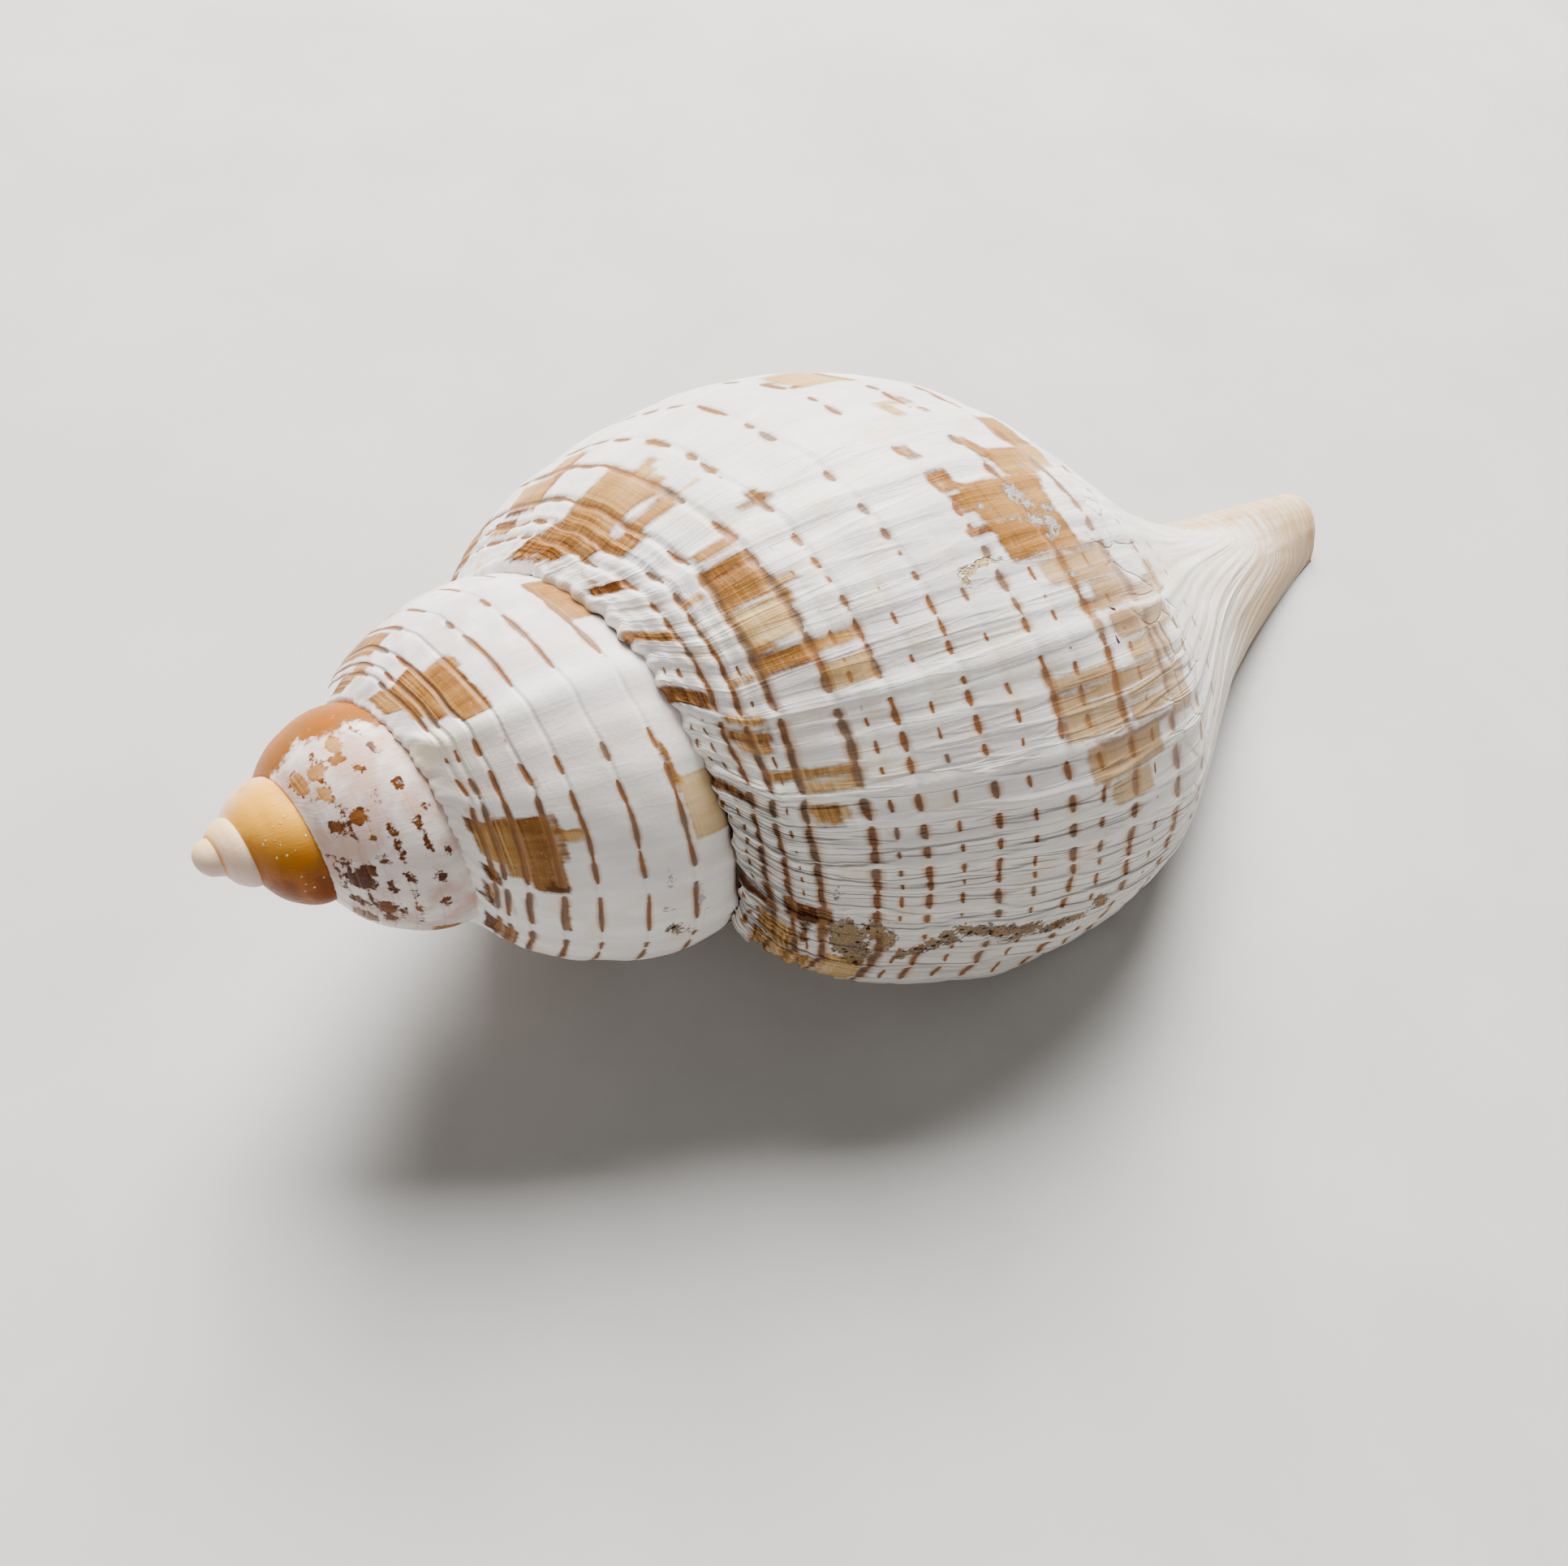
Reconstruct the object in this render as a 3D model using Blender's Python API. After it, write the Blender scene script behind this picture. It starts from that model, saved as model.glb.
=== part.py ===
"""True tulip shell: one hollow, right-handed spiral body that rests mouth down on a small flat spot."""

import math

import bmesh
import bpy
import numpy as np
from mathutils import Matrix

# The spiral, in millimetres along its own axis from the apex to the tip of the canal.
# Turns count from the apex. The suture is the spiral seam where a whorl meets the one before it.
LENGTH = 93.0
FIRST_TURN = -0.6
MOUTH_TURN = 4.235
SUTURE_HEIGHT = 5.172  # how far below the apex the suture lies at turn 2
GROWTH = 0.73695  # natural log of the growth over one turn
GROWTH_EASE = -0.00276
SPREAD = 0.73412  # suture radius over suture height at turn 2
SPREAD_EASE = -0.08753  # the spire narrows its angle by this in each turn

# Whorl profile: (turns past the suture, fullness against the straight cone).
PROFILE = (
    (0.0, 0.99),
    (0.12, 1.085),
    (0.3, 1.155),
    (0.5, 1.15),
    (0.7, 1.11),
    (0.85, 1.045),
    (1.0, 0.945),
    (1.12, 0.84),
    (1.24, 0.68),
    (1.36, 0.515),
    (1.48, 0.36),
    (1.6, 0.235),
    (1.75, 0.115),
    (2.2, 0.0),
    (3.0, 0.0),
)
# Radius of the canal's outside, and of the columella seen in the mouth: (height, radius).
CANAL = ((0, 0), (30, 2.0), (52, 3.4), (60, 3.6), (66, 3.1), (73, 2.6), (80, 2.35), (86, 2.3), (93, 2.2))
COLUMELLA = ((0, 0), (40, 2.6), (58, 2.9), (66, 2.3), (74, 1.1), (82, 0.3), (93, 0.3))

WALL = 1.35
LIP_WALL = 0.95
LIP_SWEEP = 0.022  # turns by which the lip draws back at the suture
CAVITY_TURNS = 1.3  # how far the hollow runs back from the mouth
CAVITY_END = 3.15  # foot of a covered whorl's hollow, as a multiple of its suture height
CANAL_RUN_IN = 0.15  # turns over which the foot runs down to the canal's tip
CANAL_OPEN_TURNS = 0.5  # the part of a turn over which the canal is an open gutter

# How finely the skin is divided.
ROWS_PER_TURN = 40
WHORL_STEPS = 7
BASE_STEPS = 14

# The pose on the table.
REST_TURN = 4.419  # the turn whose meridian points down
AXIS_TILT = math.radians(12.015)  # apex raised, canal tip down
REST_CUT = 0.35  # depth of the flat spots, in millimetres

MM = 0.001
NAME = "shell"


def through(stations, x):
    """Smooth curve through the stations, read at x."""
    places = np.array([place for place, _ in stations], float)
    values = np.array([value for _, value in stations], float)
    gaps = np.diff(places)
    rises = np.diff(values) / gaps
    slopes = np.empty_like(values)
    slopes[1:-1] = (rises[:-1] * gaps[1:] + rises[1:] * gaps[:-1]) / (gaps[1:] + gaps[:-1])
    slopes[0] = rises[0]
    slopes[-1] = rises[-1]
    x = np.clip(x, places[0], places[-1])
    i = np.clip(np.searchsorted(places, x, side="right") - 1, 0, len(gaps) - 1)
    q = (x - places[i]) / gaps[i]
    start = (1 + 2 * q) * (1 - q) ** 2 * values[i] + q * (1 - q) ** 2 * gaps[i] * slopes[i]
    end = q * q * (3 - 2 * q) * values[i + 1] + q * q * (q - 1) * gaps[i] * slopes[i + 1]
    return start + end


def ease(x, low, high):
    q = np.clip((x - low) / (high - low), 0, 1)
    return q * q * (3 - 2 * q)


def suture_height(turn):
    return SUTURE_HEIGHT * np.exp(GROWTH * (turn - 2) + GROWTH_EASE * (turn - 2) ** 2)


def turn_of_height(height):
    """The turn whose suture lies at this height."""
    under_root = GROWTH**2 + 4 * GROWTH_EASE * np.log(height / SUTURE_HEIGHT)
    return 2 + (np.sqrt(under_root) - GROWTH) / (2 * GROWTH_EASE)


def whorl_radius(turn, height):
    reached = turn_of_height(height)
    spread = SPREAD + SPREAD_EASE * (reached - 2)
    return height * spread * through(PROFILE, np.maximum(reached - turn, 0))


def core_radius(turn, height):
    """Columella where the mouth shows it, full canal on the rest of the turn."""
    inside = through(COLUMELLA, height)
    outside = through(CANAL, height)
    return inside + (outside - inside) * ease(turn - MOUTH_TURN + 1, 0.02, 0.45)


def outer_radius(turn, height):
    """The whorl and the core blended into one skin."""
    blend = np.minimum(0.8, 0.02 * height)
    return blend * np.logaddexp(whorl_radius(turn, height) / blend, core_radius(turn, height) / blend)


def inner_radius(turn, height):
    """The outer skin less the wall, measured square to the skin."""
    step = 0.01 * height
    slope = (outer_radius(turn, height + step) - outer_radius(turn, height - step)) / (2 * step)
    wall = WALL * (suture_height(turn) / suture_height(MOUTH_TURN)) ** 0.8
    wall += (LIP_WALL - WALL) * ease(turn, MOUTH_TURN - 0.12, MOUTH_TURN)
    return outer_radius(turn, height) - wall * np.minimum(np.sqrt(1 + slope**2), 2.2)


def cavity_top(turn):
    """Height at which the inside of the wall meets the whorl above it."""
    low = suture_height(turn) * 1.002
    high = suture_height(turn) * 1.25
    for _ in range(40):
        middle = (low + high) / 2
        if inner_radius(turn, middle) > outer_radius(turn - 1, middle):
            high = middle
        else:
            low = middle
    return high


def spaced(top, bottom, shares):
    """Heights between top and bottom, closer together towards the apex."""
    return top * (bottom / top) ** shares


class Skin:
    """Collects points given by turn, radius and height, and the faces between them.

    The coiled skin is a loft between unlike sections that widens and passes over itself, so its
    rows are laid out by hand.
    """

    def __init__(self):
        self.points = []
        self.faces = []

    def point(self, turn, radius, height):
        angle = math.tau * turn
        self.points.append((radius * math.cos(angle), radius * math.sin(angle), height))
        return len(self.points) - 1

    def strip(self, left, right):
        for k in range(min(len(left), len(right)) - 1):
            self.faces.append((left[k], right[k], right[k + 1], left[k + 1]))


def lip_shift(turn, past_suture):
    """Turns by which the growing edge draws back near the suture."""
    near_suture = np.clip(1 - past_suture / 0.4, 0, 1) ** 2
    return -LIP_SWEEP * near_suture * ease(turn, MOUTH_TURN - 0.5, MOUTH_TURN)


def crown(skin, rim):
    """Closes the first whorl with a low dome."""
    top = 0.2 * suture_height(FIRST_TURN)
    ring = rim
    for share in (0.75, 0.4):
        lift = 1 - math.sqrt(1 - share**2)
        inside = []
        for corner in rim:
            x, y, height = skin.points[corner]
            skin.points.append((x * share, y * share, top + (height - top) * lift))
            inside.append(len(skin.points) - 1)
        for k in range(len(rim)):
            skin.faces.append((ring[k - 1], ring[k], inside[k], inside[k - 1]))
        ring = inside
    skin.points.append((0, 0, top))
    apex = len(skin.points) - 1
    for k in range(len(ring)):
        skin.faces.append((ring[k - 1], ring[k], apex))


def outside(skin, turns, rise, base_shares):
    """Rows of points down each meridian, joined into one spiral skin from the apex to the lip."""
    last_turn = len(turns) - 1 - ROWS_PER_TURN
    rows = []
    for i, turn in enumerate(turns):
        heights = suture_height(turn + np.linspace(0, 1, WHORL_STEPS + 1))
        if i >= last_turn:
            base = spaced(suture_height(turn + 1) * rise, LENGTH, base_shares)
            heights = np.concatenate([heights, base])
        row = []
        for height in heights:
            moved = turn + lip_shift(turn, turn_of_height(height) - turn)
            row.append(skin.point(moved, outer_radius(moved, height), height))
        rows.append(row)
    for i in range(len(rows) - 1):
        skin.strip(rows[i], rows[i + 1])
    for i in range(last_turn):
        below = rows[i + ROWS_PER_TURN]
        below_next = rows[i + ROWS_PER_TURN + 1]
        skin.faces.append((rows[i][WHORL_STEPS], rows[i + 1][WHORL_STEPS], below_next[0], below[0]))
    rim = [rows[i][0] for i in range(ROWS_PER_TURN + 1)] + rows[0][::-1]
    crown(skin, rim[:-1])
    return rows, last_turn


def hollow(skin, rows, turns, last_turn, rise, base_shares):
    """The cavity behind the mouth: the inside of the wall, and the skin of the whorl before it."""
    whorl_part = suture_height(MOUTH_TURN + np.linspace(0, 1, WHORL_STEPS + 1))
    base_part = spaced(suture_height(MOUTH_TURN + 1) * rise, LENGTH, base_shares)
    lip_heights = np.concatenate([whorl_part, base_part])
    wall_shares = np.log(lip_heights / lip_heights[0]) / np.log(LENGTH / lip_heights[0])
    end = len(turns) - 1
    start = end - round(CAVITY_TURNS * ROWS_PER_TURN)
    first_open = end - round(CANAL_OPEN_TURNS * ROWS_PER_TURN)
    walls = []
    floors = []
    for i in range(start, end + 1):
        turn = turns[i]
        top = cavity_top(turn)
        run_in = ease(turn, turns[first_open] - CANAL_RUN_IN, turns[first_open])
        foot = CAVITY_END * suture_height(turn)
        bottom = LENGTH if i >= first_open else foot + (LENGTH - foot) * run_in
        if i == end:
            floor = rows[last_turn][WHORL_STEPS + 1 :]
        else:
            heights = spaced(top, bottom, base_shares)
            floor = [skin.point(turn, outer_radius(turn - 1, h), h) for h in heights]
        wall = [floor[0]]
        for height in spaced(top, bottom, wall_shares[1:]):
            moved = turn + lip_shift(turn, turn_of_height(height) - turn)
            wall.append(skin.point(moved, inner_radius(moved, height), height))
        walls.append(wall)
        floors.append(floor)
    for i in range(len(walls) - 1):
        skin.strip(walls[i + 1], walls[i])
        skin.strip(floors[i], floors[i + 1])
        if start + i < first_open:
            skin.faces.append((walls[i][-1], floors[i][-1], floors[i + 1][-1], walls[i + 1][-1]))
    skin.faces.append(tuple(floors[0][:0:-1] + walls[0]))
    return walls, floors, first_open - start


def shell_mesh():
    row_count = round((MOUTH_TURN - FIRST_TURN) * ROWS_PER_TURN)
    turns = [MOUTH_TURN - (row_count - i) / ROWS_PER_TURN for i in range(row_count + 1)]
    base_shares = np.linspace(0, 1, BASE_STEPS) ** 0.9
    skin = Skin()
    rise = cavity_top(MOUTH_TURN) / suture_height(MOUTH_TURN)
    rows, last_turn = outside(skin, turns, rise, base_shares)
    walls, floors, first_open = hollow(skin, rows, turns, last_turn, rise, base_shares)

    # The lip joins the outer skin to the wall of the hollow.
    skin.strip(rows[-1][::-1], walls[-1][::-1])
    skin.faces.append((rows[-1][0], rows[last_turn][WHORL_STEPS], walls[-1][0]))

    # The tip of the canal is a flat C.
    tip = [row[-1] for row in rows[last_turn:]][::-1]
    tip += [floor[-1] for floor in floors[first_open:-1]][::-1]
    tip += [wall[-1] for wall in walls[first_open:]]
    skin.faces.append(tuple(tip[::-1]))

    mesh = bpy.data.meshes.new(NAME)
    mesh.from_pydata(skin.points, [], skin.faces)
    form = bmesh.new()
    form.from_mesh(mesh)
    bmesh.ops.recalc_face_normals(form, faces=form.faces[:])
    form.to_mesh(mesh)
    form.free()
    mesh.shade_smooth()
    mesh.set_sharp_from_angle(angle=math.radians(40))
    return mesh


def rest_pose():
    """Turns the axis to lie along +X with the resting side down."""
    down = math.tau * REST_TURN
    lay = Matrix.Rotation(math.radians(90), 4, "Y") @ Matrix.Rotation(-down, 4, "Z")
    return Matrix.Rotation(AXIS_TILT, 4, "Y") @ lay


def bounds(mesh):
    places = np.array([vertex.co for vertex in mesh.vertices])
    return places.min(axis=0), places.max(axis=0)


def block(name, side, bottom):
    """A square block whose top face lies on the table plane."""
    mesh = bpy.data.meshes.new(name)
    form = bmesh.new()
    bmesh.ops.create_cube(form, size=1)
    bmesh.ops.scale(form, vec=(side, side, -bottom), verts=form.verts)
    bmesh.ops.translate(form, vec=(0, 0, bottom / 2), verts=form.verts)
    form.to_mesh(mesh)
    form.free()
    return bpy.data.objects.new(name, mesh)


def shell_material():
    material = bpy.data.materials.new("shell_lime")
    material.use_nodes = True
    surface = material.node_tree.nodes["Principled BSDF"]
    surface.inputs["Base Color"].default_value = (0.78, 0.69, 0.58, 1)
    surface.inputs["Roughness"].default_value = 0.35
    return material


def main():
    for obj in list(bpy.data.objects):
        bpy.data.objects.remove(obj, do_unlink=True)
    parts = bpy.data.collections.new("tulip_shell")
    cutters = bpy.data.collections.new("cutters")
    bpy.context.scene.collection.children.link(parts)
    bpy.context.scene.collection.children.link(cutters)

    mesh = shell_mesh()
    mesh.transform(Matrix.Scale(MM, 4) @ rest_pose())
    low, high = bounds(mesh)
    middle = (low + high) / 2
    mesh.transform(Matrix.Translation((-middle[0], -middle[1], -low[2] - REST_CUT * MM)))
    mesh.materials.append(shell_material())
    shell = bpy.data.objects.new(NAME, mesh)
    parts.objects.link(shell)
    cutters.hide_render = True

    ground = block("ground", 2 * LENGTH * MM, -5 * MM)
    cutters.objects.link(ground)
    ground.hide_render = True
    ground.display_type = "WIRE"
    flat = shell.modifiers.new("flat_spot", "BOOLEAN")
    flat.operation = "DIFFERENCE"
    flat.solver = "EXACT"
    flat.object = ground


main()
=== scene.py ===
import math
from collections import defaultdict

import bpy
import numpy as np
from mathutils import Matrix, Vector


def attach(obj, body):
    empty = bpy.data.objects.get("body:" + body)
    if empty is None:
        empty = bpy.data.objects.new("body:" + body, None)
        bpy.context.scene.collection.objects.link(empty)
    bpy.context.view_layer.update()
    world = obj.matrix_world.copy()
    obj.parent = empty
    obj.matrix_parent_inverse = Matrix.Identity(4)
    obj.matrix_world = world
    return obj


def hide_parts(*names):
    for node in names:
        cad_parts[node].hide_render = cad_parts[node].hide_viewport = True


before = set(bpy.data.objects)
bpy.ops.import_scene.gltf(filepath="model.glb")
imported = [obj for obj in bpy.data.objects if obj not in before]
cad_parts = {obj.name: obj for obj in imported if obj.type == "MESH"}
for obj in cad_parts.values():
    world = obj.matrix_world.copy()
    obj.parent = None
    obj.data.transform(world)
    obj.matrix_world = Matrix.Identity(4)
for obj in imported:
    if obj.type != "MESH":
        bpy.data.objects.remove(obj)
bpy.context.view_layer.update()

MM = 0.001

# The spiral, in millimetres along its own axis from the apex to the tip of the canal, as in the solid.
# Turns count from the apex. The suture is the spiral seam where a whorl meets the one before it.
LENGTH = 93.0
FIRST_TURN = -0.6
MOUTH_TURN = 4.235
SUTURE_HEIGHT = 5.172  # how far below the apex the suture lies at turn 2
GROWTH = 0.73695  # natural log of the growth over one turn
GROWTH_EASE = -0.00276
SPREAD = 0.73412  # suture radius over suture height at turn 2
SPREAD_EASE = -0.08753  # the spire narrows its angle by this in each turn
# Whorl profile: (turns past the suture, fullness against the straight cone).
PROFILE = (
    (0.0, 0.99), (0.12, 1.085), (0.3, 1.155), (0.5, 1.15), (0.7, 1.11), (0.85, 1.045),
    (1.0, 0.945), (1.12, 0.84), (1.24, 0.68), (1.36, 0.515), (1.48, 0.36),
    (1.6, 0.235), (1.75, 0.115), (2.2, 0.0), (3.0, 0.0),
)
# Radius of the canal's outside, and of the columella seen in the mouth: (height, radius).
CANAL = ((0, 0), (30, 2.0), (52, 3.4), (60, 3.6), (66, 3.1), (73, 2.6), (80, 2.35), (86, 2.3), (93, 2.2))
COLUMELLA = ((0, 0), (40, 2.6), (58, 2.9), (66, 2.3), (74, 1.1), (82, 0.3), (93, 0.3))

WALL = 1.35
LIP_WALL = 0.95
LIP_SWEEP = 0.022  # turns by which the lip draws back at the suture
CAVITY_TURNS = 1.3  # how far the hollow runs back from the mouth
CAVITY_END = 3.15  # foot of a covered whorl's hollow, as a multiple of its suture height
CANAL_RUN_IN = 0.15  # turns over which the foot runs down to the canal's tip
CANAL_OPEN_TURNS = 0.5  # the part of a turn over which the canal is an open gutter
FIRST_OPEN = MOUTH_TURN - CANAL_OPEN_TURNS

# The pose on the table.
REST_TURN = 4.419  # the turn whose meridian points down
AXIS_TILT = math.radians(12.015)  # apex raised, canal tip down
APEX_PLACE = (-45.784, 2.732, 20.707)

# Fineness of the visible skin. A stage is where it starts and its step, in turns.
FINE_FROM = 3.69
FINE_STEP = 0.0022
COARSE_STEP = 0.0055
SPIRE_STAGES = ((FIRST_TURN, 0.014), (1.5, 0.008), (2.6, 0.005))
COLUMN_STAGES = ((0, 0.0085), (0.26, 0.0135))
NECK = 1.3  # turns past the suture where the columns change to an even spread down to the tip
NECK_STEPS = 42
WALL_ROWS = 74
HOLLOW_ROWS = 100
HOLLOW_COLUMNS = 90
CROWN_ROWS = 49
CROWN_RINGS = 9

# The upper edge of a whorl, tucked in: share of its radius, drop in millimetres, turns back.
LEDGE = ((0.93, 0.10, 0.009), (0.965, 0.16, 0.006), (0.990, 0.10, 0.003))
LIP_BULGE = 0.30  # how far the lip's edge stands out between its two skins, in millimetres
RIB_SPACING = 0.042  # of the ribs inside the lip, in turns
FOLDS = (58.0, 62.5, 66.5)  # where the columella's folds reach the mouth, in millimetres from the apex

# Which side of the shell a point belongs to.
OUTSIDE = 0.0
LIP_EDGE = 0.5
LINING = 1.0
HOLLOW_FLOOR = 2.0

# Colour of the patches, from the palest to the darkest: (depth, display colour).
PATCH_TONES = (
    (0.0, (224, 196, 150)),
    (0.25, (202, 158, 98)),
    (0.5, (158, 110, 54)),
    (0.75, (106, 60, 16)),
    (1.0, (82, 38, 4)),
)
BUMP_HEIGHT = 0.00016  # metres for a bump of 1

# Studio, in metres: (name, place, width, power, tint).
LAMPS = (
    ("overhead", (0.16, 0.32, 0.46), 0.34, 15.5, (1.0, 0.985, 0.96)),
    ("left_fill", (-0.6, -0.1, 0.35), 0.5, 0.7, (1.0, 0.98, 0.95)),
    ("front_fill", (0.2, -0.7, 0.35), 0.6, 0.6, (1.0, 0.97, 0.92)),
)
LIT_PLACE = (0, 0, 0.01)
FLOOR = 3.0  # from the middle to each side
FLOOR_GAP = 0.00002
ROOM_TINT = (0.95, 0.95, 0.96, 1)
ROOM_LIGHT = 0.17
EYE_PLACE = (-0.04297, -0.03803, 0.08105)
EYE_ANGLES = (32.9303, -5.3287, -32.8844)  # degrees about x, y and z
EYE_LENS = 30.18
EYE_SENSOR = 36.0


def through(stations, x):
    """Smooth curve through the stations, read at x."""
    places = np.array([place for place, _ in stations], float)
    values = np.array([value for _, value in stations], float)
    gaps = np.diff(places)
    rises = np.diff(values) / gaps
    slopes = np.empty_like(values)
    slopes[1:-1] = (rises[:-1] * gaps[1:] + rises[1:] * gaps[:-1]) / (gaps[1:] + gaps[:-1])
    slopes[0] = rises[0]
    slopes[-1] = rises[-1]
    x = np.clip(x, places[0], places[-1])
    i = np.clip(np.searchsorted(places, x, side="right") - 1, 0, len(gaps) - 1)
    q = (x - places[i]) / gaps[i]
    start = (1 + 2 * q) * (1 - q) ** 2 * values[i] + q * (1 - q) ** 2 * gaps[i] * slopes[i]
    end = q * q * (3 - 2 * q) * values[i + 1] + q * q * (q - 1) * gaps[i] * slopes[i + 1]
    return start + end


def straight(stations, x):
    """Straight lines through the stations, read at x."""
    return np.interp(x, [place for place, _ in stations], [value for _, value in stations])


def unit(x):
    return np.clip(x, 0, 1)


def ease(x, low, high):
    """Smooth step from 0 at low to 1 at high."""
    q = unit((x - low) / (high - low))
    return q * q * (3 - 2 * q)


def suture_height(turn):
    """How far from the apex, along the axis, the suture lies at this turn."""
    return SUTURE_HEIGHT * np.exp(GROWTH * (turn - 2) + GROWTH_EASE * (turn - 2) ** 2)


def turn_of_height(height):
    """The turn whose suture lies at this height."""
    under_root = GROWTH**2 + 4 * GROWTH_EASE * np.log(height / SUTURE_HEIGHT)
    return 2 + (np.sqrt(under_root) - GROWTH) / (2 * GROWTH_EASE)


def whorl_size(turn):
    """Size of the whorl at this turn, 1 at turn 4."""
    return suture_height(turn) / suture_height(4.0)


def whorl_radius(turn, height):
    reached = turn_of_height(height)
    spread = SPREAD + SPREAD_EASE * (reached - 2)
    return height * spread * through(PROFILE, np.maximum(reached - turn, 0))


def core_radius(turn, height):
    inside = through(COLUMELLA, height)
    outside = through(CANAL, height)
    return inside + (outside - inside) * ease(turn - MOUTH_TURN + 1, 0.02, 0.45)


def outer_radius(turn, height):
    blend = np.minimum(0.8, 0.02 * height)
    return blend * np.logaddexp(whorl_radius(turn, height) / blend, core_radius(turn, height) / blend)


def inner_radius(turn, height):
    step = 0.01 * height
    slope = (outer_radius(turn, height + step) - outer_radius(turn, height - step)) / (2 * step)
    wall = WALL * (suture_height(turn) / suture_height(MOUTH_TURN)) ** 0.8
    wall = wall + (LIP_WALL - WALL) * ease(turn, MOUTH_TURN - 0.12, MOUTH_TURN)
    return outer_radius(turn, height) - wall * np.minimum(np.sqrt(1 + slope**2), 2.2)


def cavity_top(turn):
    """The height at which the wall's inside leaves the whorl before, found by halving."""
    low = suture_height(turn) * 1.002
    high = suture_height(turn) * 1.25
    for _ in range(40):
        middle = (low + high) / 2
        clear = inner_radius(turn, middle) > outer_radius(turn - 1, middle)
        high = np.where(clear, middle, high)
        low = np.where(clear, low, middle)
    return high


# Marks on the skin. A place is (turn, turns past the suture), in thousandths of a turn.


def in_turns(count, rows):
    """The rows, with the first numbers of each in whole turns instead of thousandths."""
    return tuple(tuple(number / 1000 for number in row[:count]) + row[count:] for row in rows)


# Spiral lines: (past at turn 2, past at turn 3, past at turn 4, strength).
SPIRAL_LINES = in_turns(3, (
    (30, 30, 20, 0.25), (70, 65, 45, 0.3), (140, 105, 80, 0.72), (210, 155, 127, 0.8),
    (260, 195, 158, 0.22), (320, 245, 196, 1.0), (390, 310, 256, 0.0), (460, 375, 320, 0.9),
    (530, 440, 372, 0.3), (610, 515, 433, 0.66), (700, 600, 513, 0.3), (800, 695, 597, 0.58),
    (900, 785, 677, 0.28), (1000, 880, 766, 0.62), (1080, 960, 835, 0.4), (1160, 1040, 916, 0.7),
    (1240, 1110, 980, 0.12), (1320, 1180, 1046, 0.8), (1440, 1290, 1150, 0.5), (1580, 1420, 1280, 0.35),
    (1750, 1580, 1430, 0.1),
))
WEAK_LINE = 0.45  # a weaker line than this only shows late on the last whorl
# How the lines wander: (turn, turns past the suture), and how much of it each height takes.
LINE_DRIFT = in_turns(2, (
    (3040, 0), (3120, -12), (3160, -24), (3220, -24), (3340, 0), (3780, 0), (3860, -11), (3900, -6),
    (3940, 9), (4000, 0), (4060, -10), (4110, -18), (4150, -15), (4190, 2), (4240, 0),
))
DRIFT_SHARE = (
    (0.02, 0.6), (0.1, 1.3), (0.2, 1.35), (0.32, 1.0), (0.45, 0.6), (0.8, 0.4), (0.95, -0.3), (1.3, -0.3),
)
# Growth ridges that stand up from the skin: (turn, half width in turns, height in millimetres).
RIDGES = in_turns(2, (
    (2866, 11, 0.24), (2978, 12, 0.62), (3046, 7, 0.1), (3133, 5, 0.18), (3192, 6, 0.16), (3760, 6, 0.06),
    (3847, 6, 0.06), (3917, 9, 0.09), (3946, 4, 0.05), (3985, 3, 0.04), (4015, 3, 0.05), (4032.5, 3, 0.07),
    (4079.5, 2.6, 0.08), (4095.8, 2.2, 0.07), (4109, 2, 0.05), (4119.3, 2.2, 0.11), (4135, 2.2, 0.08),
    (4149, 2.6, 0.16), (4162, 3, 0.12), (4181, 3, 0.08), (4201, 3, 0.09), (4218, 3, 0.08),
))
# Where along the growth the lines are coloured: (start, end, strength). In between they have NO_PIGMENT.
PULSES = in_turns(2, (
    # penultimate whorl
    (2770, 2790, 0.1), (2810, 2840, 0.3), (2872, 2884, 0.65), (2897, 2934, 0.85), (2930, 2963, 0.7),
    (2995, 3006, 0.2), (3019, 3035, 0.85), (3047, 3065, 1.0), (3062, 3104, 0.75), (3104, 3128, 1.0),
    (3138, 3182, 1.1), (3196, 3206, 0.7), (3213, 3250, 1.0),
    # last whorl
    (3700, 3722, 0.5), (3735, 3750, 0.4), (3766, 3772, 0.5), (3780, 3806, 0.8), (3808, 3822, 0.5),
    (3828, 3841, 0.7), (3852, 3870, 0.9), (3882, 3888, 0.6), (3892, 3902, 0.9), (3906, 3911, 0.5),
    (3930, 3938, 0.8), (3952, 3959, 0.8), (3967, 3973, 0.7), (3978, 3981, 0.5), (3988, 3993, 0.6),
    (4000, 4009, 1.0), (4011, 4018, 0.4), (4020, 4027, 0.8), (4037, 4040, 0.7), (4042, 4050, 0.9),
    (4053, 4063, 0.9), (4066, 4073, 0.8), (4083, 4092, 1.0), (4098, 4107, 1.0), (4111, 4117, 0.9),
    (4121, 4129, 1.0), (4130, 4135, 0.9), (4138, 4147, 1.0), (4151, 4158, 0.8), (4168, 4172, 0.4),
    (4178, 4184, 0.8), (4187, 4200, 1.0), (4203, 4222, 1.0),
))
NO_PIGMENT = -0.35
# Gaps that break even the strongest lines: (start, end).
WHITE_RIDGES = in_turns(2, (
    (2852, 2868), (2962, 2990), (3000, 3018), (3127, 3138), (3184, 3194), (3905, 3929), (3942, 3950),
    (4028.5, 4036), (4076.5, 4082), (4094, 4097.5), (4118, 4120.5), (4148, 4150.5), (4159, 4166),
))
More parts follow.
